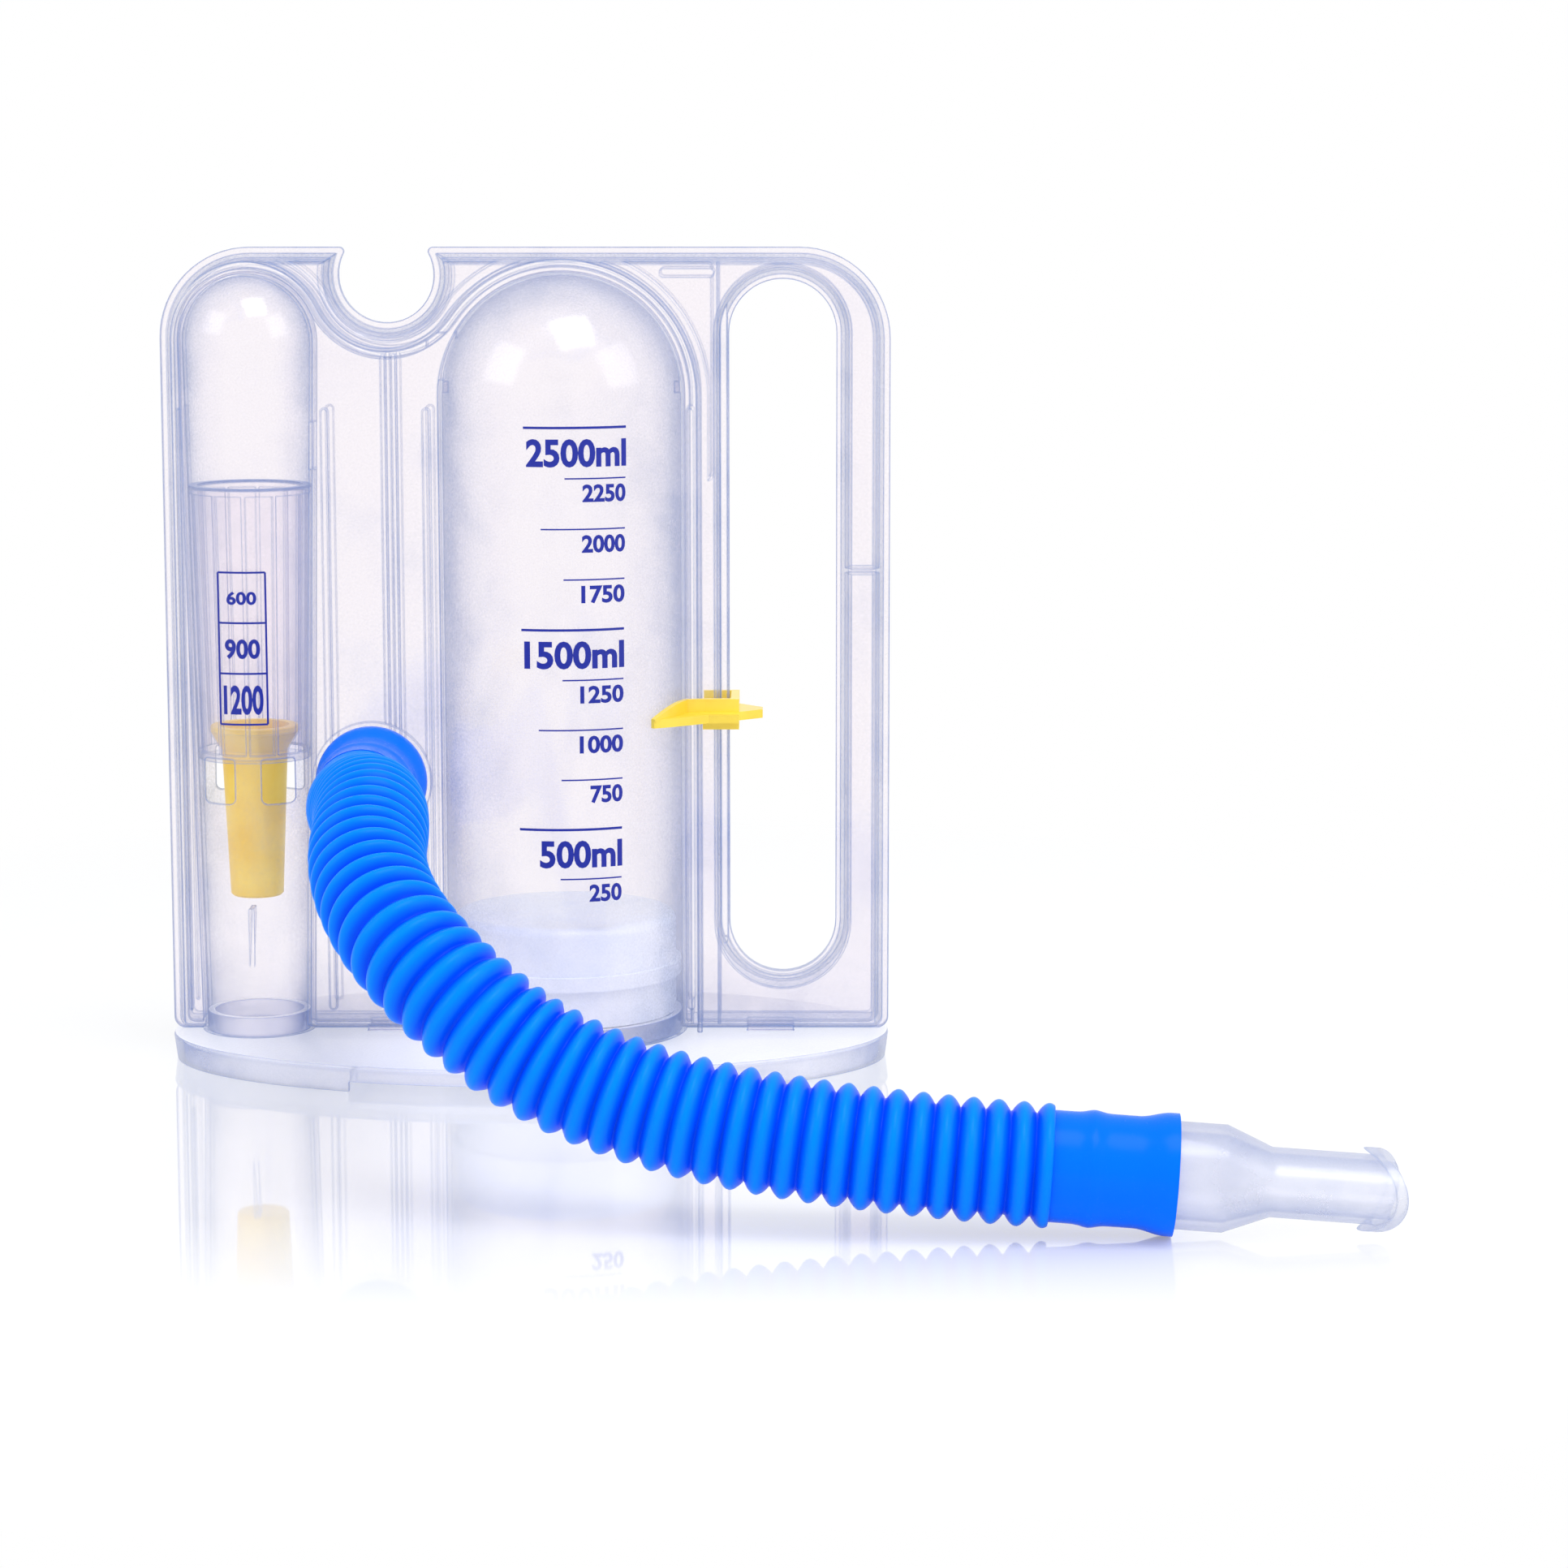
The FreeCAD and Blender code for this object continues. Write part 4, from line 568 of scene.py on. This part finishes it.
def shown(name, mesh, material, body="housing"):
    """A finished mesh, its faces turned outward, as a piece that rides on a CAD body."""
    work = bmesh.new()
    work.from_mesh(mesh)
    bmesh.ops.recalc_face_normals(work, faces=work.faces)
    work.to_mesh(mesh)
    work.free()
    mesh.materials.append(material)
    piece = bpy.data.objects.new(name, mesh)
    scene.collection.objects.link(piece)
    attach(piece, body)
    print(name, len(mesh.vertices), "points")
    return piece


print("rings of", RING_POINTS, "points")

# %% [markdown]
# ## The corrugations
#
# The radius swings between valley and crest once in every pitch: round on the crests and sharp in
# the valleys, which is how blown tubing looks. The pitch is finer at the port, where the bend
# pushes the corrugations together, and grows to its full size along the hose. The hose is a
# little slimmer near the port too. Each ring remembers its own height, 1 on a crest and 0 in a
# valley, for the finish to read.

# %% The hose's surface
HOSE_CREST = 0.0136
HOSE_VALLEY = 0.0110
HOSE_WALL = 0.0008
CREST_SHARPNESS = 0.45
PORT_PITCH = 0.0043
HOSE_PITCH = 0.0055
PITCH_REACH = 0.150
RINGS_PER_PITCH = 16
END_PHASE = 0.3
PORT_TAPER = 0.12
PORT_TAPER_LENGTH = 0.045


def crest_phase(from_port):
    """How many corrugations lie between the port and each ring: the steps between the rings,
    each divided by the pitch there, added up, and then stretched to end as they begin."""
    pitch = np.interp(from_port, (0.0, PITCH_REACH), (PORT_PITCH, HOSE_PITCH))
    swings = np.concatenate([[0.0], np.cumsum(np.diff(from_port) / pitch[1:])])
    crests = round(swings[-1])
    print(crests, "crests")
    return END_PHASE + swings / swings[-1] * (crests - 2 * END_PHASE)


ring_count = round(hose_length / HOSE_PITCH * RINGS_PER_PITCH) + 1
hose_path = resampled(hose_line, ring_count)
hose_side, hose_up = sides_along(hose_path)
from_port = np.linspace(0.0, hose_length, ring_count)
swing = (1.0 - np.cos(2.0 * np.pi * crest_phase(from_port))) / 2.0
relief = swing ** CREST_SHARPNESS
outer_radius = HOSE_VALLEY + (HOSE_CREST - HOSE_VALLEY) * relief
outer_radius *= 1.0 - PORT_TAPER * np.clip(1.0 - from_port / PORT_TAPER_LENGTH, 0.0, 1.0)

back_along_inside = np.arange(ring_count)[::-RINGS_PER_PITCH]
order = np.concatenate([np.arange(ring_count), back_along_inside])
inner_radius = np.full(len(back_along_inside), HOSE_VALLEY - HOSE_WALL)
hose_rings = rings_round(hose_path[order], np.concatenate([outer_radius, inner_radius]),
                         hose_side[order], hose_up[order])
# Nothing of the hose reaches back past the plane of its start.
hose_rings[..., 1] = np.minimum(hose_rings[..., 1], HOSE_POINTS[0][1])
hose_mesh = ring_mesh("corrugated_hose", hose_rings)
height = np.concatenate([relief, np.zeros(len(back_along_inside))])
crest = hose_mesh.attributes.new("crest", "FLOAT", "POINT")
crest.data.foreach_set("value", np.repeat(height, RING_POINTS).astype(np.float32))
hose = shown("corrugated_hose", hose_mesh, hose_finish)
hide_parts("breathing_hose")

# %% [markdown]
# ## The hose's smooth ends
#
# Each end of the hose is a smooth cuff: a plain neck, a low soft ring, and a flare round the port
# or the mouthpiece. The CAD cuff has the ring and the flare as straight steps. Here the same cuff
# is turned from one soft formula.

# %% Cuffs
CUFF_LENGTH = 0.0271
CUFF_NECK = 0.0122
CUFF_BORE = 0.0111
RING_GROWTH, RING_MIDDLE, RING_SPREAD = 0.0006, 0.0088, 0.0021
FLARE_START, FLARE_END = 0.0185, 0.0255
PORT_FLARE, MOUTH_FLARE = 0.0142, 0.0134
CUFF_RINGS = 70


def cuff_radius(reach, flare_radius):
    """The cuff's radius at a distance d from the hose: neck + ring exp(-((d - middle) /
    spread)^2) + (flare - neck) s, where s is a smooth step from 0 to 1."""
    step = np.clip((reach - FLARE_START) / (FLARE_END - FLARE_START), 0.0, 1.0)
    smooth_step = step * step * (3.0 - 2.0 * step)
    ring = RING_GROWTH * np.exp(-((reach - RING_MIDDLE) / RING_SPREAD) ** 2)
    return CUFF_NECK + ring + (flare_radius - CUFF_NECK) * smooth_step


def soft_cuff(name, replaced, start, along, flare_radius):
    """A cuff from start in the direction along, which shows in place of the CAD cuff."""
    along = np.array(along) / np.linalg.norm(along)
    side = np.cross(along, (0.0, 0.0, 1.0))
    side /= np.linalg.norm(side)
    up = np.cross(side, along)
    reach = np.linspace(0.0, CUFF_LENGTH, CUFF_RINGS)
    radius = np.concatenate([cuff_radius(reach, flare_radius), [CUFF_BORE, CUFF_BORE]])
    line = np.array(start) + np.outer(np.concatenate([reach, [CUFF_LENGTH, 0.0]]), along)
    rings = rings_round(line, radius, side[None, :], up[None, :])
    cuff = shown(name, ring_mesh(name, rings), cuff_finish)
    cuff.modifiers.new("crisp_edges", "EDGE_SPLIT").split_angle = CREASE_ANGLE
    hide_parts(replaced)


soft_cuff("port_cuff", "hose_port_cuff", HOSE_POINTS[0], (0.0, 1.0, 0.0), PORT_FLARE)
soft_cuff("mouth_cuff", "hose_mouth_cuff", HOSE_POINTS[-1],
          np.subtract(HOSE_POINTS[-1], HOSE_POINTS[-2]), MOUTH_FLARE)

# %% [markdown]
# ## Printed scales
#
# The volume scale is printed in navy ink on the front of the wide chamber, and a small framed
# scale on the narrow one. Ink has almost no thickness, so each mark is a thin mesh laid a tenth
# of a millimetre off the wall. A mark is drawn flat first, in millimetres, with x across and z
# up, and then every point is wrapped on the wall: the distance across becomes an angle about the
# chamber's axis. Numbers come from Blender's own font, squeezed and thickened like a bold
# condensed face, and turned into meshes before they are placed.

# %% Ink and wrapping
MM = 0.001
INK_NEAR = 0.05
INK_FAR = 0.14
INK_WEIGHT = 0.032
DIGIT_HEIGHT = 0.73
DIGIT_STEPS = 4
BAR_STEP = 1.0
PISTON_WALL = 31.5
FLOAT_WALL_LOW, FLOAT_WALL_HIGH = 14.6, 17.7
FLOAT_LOW, FLOAT_HIGH = 7.0, 184.3
ink_finish = coloured_plastic("navy_ink", "001E96", "001A9A", 0.50, bump=0.02)


def piston_wall(z):
    """The wide chamber's outer radius, the same at every height."""
    return np.full_like(z, PISTON_WALL)


def float_wall(z):
    """The narrow chamber's outer radius, which grows evenly with height."""
    share = (z - FLOAT_LOW) / (FLOAT_HIGH - FLOAT_LOW)
    return FLOAT_WALL_LOW + (FLOAT_WALL_HIGH - FLOAT_WALL_LOW) * share


def wrapped(points, axis_x, wall):
    """Flat points wrapped on the front of an upright chamber: x from its axis becomes an angle
    about it, and y a distance off its wall, whose radius may change with z."""
    radius = wall(points[:, 2])
    angle = (points[:, 0] - axis_x) / radius
    off = radius + points[:, 1]
    return np.stack([axis_x + off * np.sin(angle), -off * np.cos(angle), points[:, 2]], axis=1)


def block_faces(rows):
    """The faces of a closed block that is given as rows of four points each."""
    faces = [(3, 2, 1, 0)]
    for here in range(0, rows * 4 - 4, 4):
        for side in range(4):
            following = (side + 1) % 4
            faces.append((here + side, here + following, here + 4 + following, here + 4 + side))
    last = rows * 4 - 4
    return faces + [(last, last + 1, last + 2, last + 3)]


def ink_bar(x0, x1, z0, z1, axis_x, wall):
    """A printed bar as a closed block of points and faces, fine enough to bend round the wall."""
    columns = int((x1 - x0) / BAR_STEP) + 2
    across = np.linspace(x0, x1, columns)
    loop = ((INK_NEAR, z0), (INK_FAR, z0), (INK_FAR, z1), (INK_NEAR, z1))
    points = np.array([[(x, y, z) for y, z in loop] for x in across]).reshape(-1, 3)
    return wrapped(points, axis_x, wall), block_faces(columns)


def ink_words(text, width, height, right, top, axis_x, wall):
    """A printed number as points and faces, with its right end and its top at the given place.
    height is that of a digit, and width that of the whole text."""
    letters = bpy.data.curves.new("letters", "FONT")
    letters.body = text
    letters.size = 1.0
    letters.offset = INK_WEIGHT
    letters.extrude = (INK_FAR - INK_NEAR) / 2
    letters.resolution_u = DIGIT_STEPS
    holder = bpy.data.objects.new("letters", letters)
    scene.collection.objects.link(holder)
    bpy.context.view_layer.update()
    mesh = bpy.data.meshes.new_from_object(holder)
    flat = np.empty(len(mesh.vertices) * 3)
    mesh.vertices.foreach_get("co", flat)
    flat = flat.reshape(-1, 3)
    faces = [tuple(face.vertices) for face in mesh.polygons]
    bpy.data.objects.remove(holder)
    bpy.data.curves.remove(letters)
    bpy.data.meshes.remove(mesh)
    x = (flat[:, 0] - flat[:, 0].max()) * width / np.ptp(flat[:, 0]) + right
    z = flat[:, 1] * height / DIGIT_HEIGHT - height + top
    y = flat[:, 2] + (INK_FAR + INK_NEAR) / 2
    return wrapped(np.stack([x, y, z], axis=1), axis_x, wall), faces


def printed(name, marks):
    """Several marks as one mesh piece on the housing."""
    points = []
    faces = []
    start = 0
    for mark_points, mark_faces in marks:
        points.append(mark_points * MM)
        faces.extend(tuple(index + start for index in face) for face in mark_faces)
        start += len(mark_points)
    mesh = bpy.data.meshes.new(name)
    mesh.from_pydata(np.concatenate(points), [], faces)
    shown(name, mesh, ink_finish)


print("ink", ink_finish.name)

# %% [markdown]
# ## The volume scale
#
# A mark stands at every 250 ml. Every fourth of them is a main mark with large digits, a long
# line and the unit. The one midway between two of these has a half line, and the rest a short
# one. The marks end in a column on the right, which moves outwards a little with height. All is
# in millimetres: `height` is a digit's, `drop` goes from a line down to its digits, `digit` and
# `unit` are widths, and `line` and `thick` are the line's length and thickness.

# %% Volume marks
SCALE_AXIS = 9.0
ZERO_Z = 38.8
MM_PER_ML = 25.15 / 500.0
SCALE_RIGHT, SCALE_RIGHT_Z, SCALE_RIGHT_RISE = 25.4, 60.0, 0.0175
MAIN_TEXT = {"height": 6.7, "drop": 2.7, "digit": 4.45, "unit": 7.8, "line": 26.3, "thick": 0.62}
SMALL_TEXT = {"height": 4.25, "drop": 1.4, "digit": 2.85, "unit": 0.0, "line": 15.8, "thick": 0.36}
HALF_LINE = 21.6

volume_marks = []
for volume in range(250, 2501, 250):
    z = ZERO_Z + volume * MM_PER_ML
    right = SCALE_RIGHT + SCALE_RIGHT_RISE * (z - SCALE_RIGHT_Z)
    main = volume % 1000 == 500
    style = MAIN_TEXT if main else SMALL_TEXT
    reach = HALF_LINE if volume % 1000 == 0 else style["line"]
    thick = style["thick"]
    volume_marks.append(ink_bar(right - reach, right, z - thick / 2, z + thick / 2,
                                SCALE_AXIS, piston_wall))
    digits = str(volume)
    volume_marks.append(ink_words(
        digits + ("ml" if main else ""), len(digits) * style["digit"] + style["unit"],
        style["height"], right, z - style["drop"], SCALE_AXIS, piston_wall))
printed("volume_scale_print", volume_marks)

# %% [markdown]
# ## The flow scale
#
# Three framed boxes on the narrow chamber, each with a number that is larger the lower it stands.
# `FLOW_NUMBERS` holds each number with its width and height.

# %% Flow marks
FLOW_AXIS = -70.5
FLOW_LEFT, FLOW_RIGHT = -77.3, -65.1
FLOW_LEVELS = (127.1, 114.3, 101.4, 88.4)
FLOW_NUMBERS = (("600", 7.6, 3.2), ("900", 9.0, 4.8), ("1200", 10.2, 7.2))
LINE = 0.5

flow_marks = []
for z in FLOW_LEVELS:
    flow_marks.append(ink_bar(FLOW_LEFT, FLOW_RIGHT, z - LINE / 2, z + LINE / 2,
                              FLOW_AXIS, float_wall))
for x in (FLOW_LEFT, FLOW_RIGHT):
    flow_marks.append(ink_bar(x - LINE / 2, x + LINE / 2, FLOW_LEVELS[-1], FLOW_LEVELS[0],
                              FLOW_AXIS, float_wall))
flow_middle = (FLOW_LEFT + FLOW_RIGHT) / 2
for row, (number, width, height) in enumerate(FLOW_NUMBERS):
    middle = (FLOW_LEVELS[row] + FLOW_LEVELS[row + 1]) / 2
    flow_marks.append(ink_words(number, width, height, flow_middle + width / 2,
                                middle + height / 2, FLOW_AXIS, float_wall))
printed("flow_scale_print", flow_marks)

# %% [markdown]
# ## The pointer's raised edge
#
# The pointer's blade carries an upstanding edge along the wide chamber. It starts at nothing at
# the blade's tip, rises along the curve, and runs on at full height into the front of the clip.
# The CAD pointer has the blade but not this edge, so the edge rides on the pointer's body.

# %% Raised edge
EDGE_RADIUS, EDGE_HALF = 32.85, 0.7
TIP_TURN, CLIP_TURN = math.radians(44.0), math.radians(16.5)
EDGE_LOW, EDGE_START, EDGE_TOP = 90.2, 90.75, 94.0
CLIMB_END = 0.8
EDGE_ROWS = 30
CLIP_SIDE = (45.4, -8.35)

bend = np.linspace(TIP_TURN, CLIP_TURN, EDGE_ROWS)
middle = np.stack([SCALE_AXIS + EDGE_RADIUS * np.cos(bend), -EDGE_RADIUS * np.sin(bend)], axis=1)
middle = np.concatenate([middle, [CLIP_SIDE]])
run = np.gradient(middle, axis=0)
run /= np.linalg.norm(run, axis=1, keepdims=True)
across = np.stack([-run[:, 1], run[:, 0]], axis=1) * EDGE_HALF
climb = np.linspace(0.0, 1.0 / CLIMB_END, EDGE_ROWS + 1).clip(0.0, 1.0)
tops = EDGE_START + (EDGE_TOP - EDGE_START) * climb * (2.0 - climb)
sections = [[(*(spot - half), EDGE_LOW), (*(spot + half), EDGE_LOW),
             (*(spot + half), top), (*(spot - half), top)]
            for spot, half, top in zip(middle, across, tops)]
edge_mesh = bpy.data.meshes.new("pointer_edge")
edge_mesh.from_pydata(np.array(sections).reshape(-1, 3) * MM, [], block_faces(EDGE_ROWS + 1))
pointer_edge = shown("pointer_edge", edge_mesh, pointer_finish, "pointer")

# %% [markdown]
# ## The table
#
# The object stands on a glossy white table. The table is a diffuse white that takes the shadows,
# part of it replaced by plain white so that they stay pale, under a weak mirror. The mirror gives
# the reflection below the foot and under the hose, and fades out in front of them. Far from the
# object both the shadows and the mirror go, and the table ends in plain white with no horizon.

# %% Table
MIRROR_SHARE = 0.42
MIRROR_NEAR, MIRROR_FAR = -0.17, -0.25
PLAIN_SHARE = 0.42
PLAIN_NEAR, PLAIN_FAR = 0.24, 0.50
TABLE_LOW, TABLE_HIGH = (0.97, 0.973, 0.985, 1.0), (0.985, 0.987, 0.99, 1.0)
TABLE_CLOUD_SCALE, TABLE_ROUGHNESS = 3.0, 0.03
TABLE_HALF = 4.0


def white_table():
    """Glossy white: diffuse and plain white mixed, under a mirror that fades to the front."""
    finish = new_finish("white_table")
    place = finish.place()
    forward = finish.part_of(place, "Y")
    away = (forward ** 2.0 + finish.part_of(place, "X") ** 2.0) ** 0.5
    far = away.ramp(PLAIN_NEAR, PLAIN_FAR)
    white = finish.blend(finish.noise(TABLE_CLOUD_SCALE, 2.0), TABLE_LOW, TABLE_HIGH)
    matt = finish.shader("BsdfDiffuse", {"Color": white})
    plain = finish.shader("Emission", {"Color": WHITE, "Strength": 1.0})
    gloss = finish.shader("BsdfGlossy", {"Color": WHITE, "Roughness": TABLE_ROUGHNESS})
    bare = (far + PLAIN_SHARE).clamped(0.0, 1.0) * finish.seen()
    mirror = forward.ramp(MIRROR_FAR, MIRROR_NEAR) * MIRROR_SHARE * (1.0 - far)
    return finish.done(finish.mixed(mirror, finish.mixed(bare, matt, plain), gloss))


table_corners = np.array([(-1, -1), (1, -1), (1, 1), (-1, 1)]) * TABLE_HALF
table_mesh = bpy.data.meshes.new("table")
table_mesh.from_pydata([(x, y, 0.0) for x, y in table_corners], [], [(0, 1, 2, 3)])
table_mesh.materials.append(white_table())
table = bpy.data.objects.new("table", table_mesh)
scene.collection.objects.link(table)
print("table", 2 * TABLE_HALF, "m wide")

# %% [markdown]
# ## World and lamps
#
# The world is white to the eye and in reflections, and dimmer as a light, so that the clear
# plastic has something to reflect without being washed out. Three large soft lamps, one overhead
# and one at each side, give the domes their highlights and the hose its soft shadow.

# %% Studio
SKY_LIGHT = 0.62
SKY_TINT = (0.96, 0.98, 1.0, 1.0)
CLEAR_WALLS_DEEP = 32

scene.world = bpy.data.worlds.new("studio")
sky = Finish(scene.world, "ShaderNodeOutputWorld")
lighting = sky.shader("Background", {"Color": SKY_TINT, "Strength": SKY_LIGHT})
backdrop = sky.shader("Background", {"Color": WHITE, "Strength": 1.0})
sky.done(sky.mixed(sky.seen(), lighting, backdrop))


def soft_box(name, place, target, size, watts):
    """A square studio lamp at place that looks at target."""
    lamp = bpy.data.lights.new(name, "AREA")
    lamp.shape = "SQUARE"
    lamp.size = size
    lamp.energy = watts
    holder = bpy.data.objects.new(name, lamp)
    holder.location = place
    aim = Vector(target) - Vector(place)
    holder.rotation_euler = aim.to_track_quat("-Z", "Y").to_euler()
    scene.collection.objects.link(holder)


soft_box("overhead_box", (0.25, -0.5, 1.3), (0.0, 0.0, 0.1), 0.7, 8.0)
soft_box("left_box", (-1.2, -0.7, 0.9), (0.0, 0.0, 0.1), 0.9, 5.0)
soft_box("right_box", (1.2, -0.6, 0.8), (0.05, -0.1, 0.08), 0.9, 4.0)
scene.view_settings.view_transform = "Standard"
scene.cycles.transparent_max_bounces = CLEAR_WALLS_DEEP
print("studio lamps", [lamp.name for lamp in bpy.data.lights])
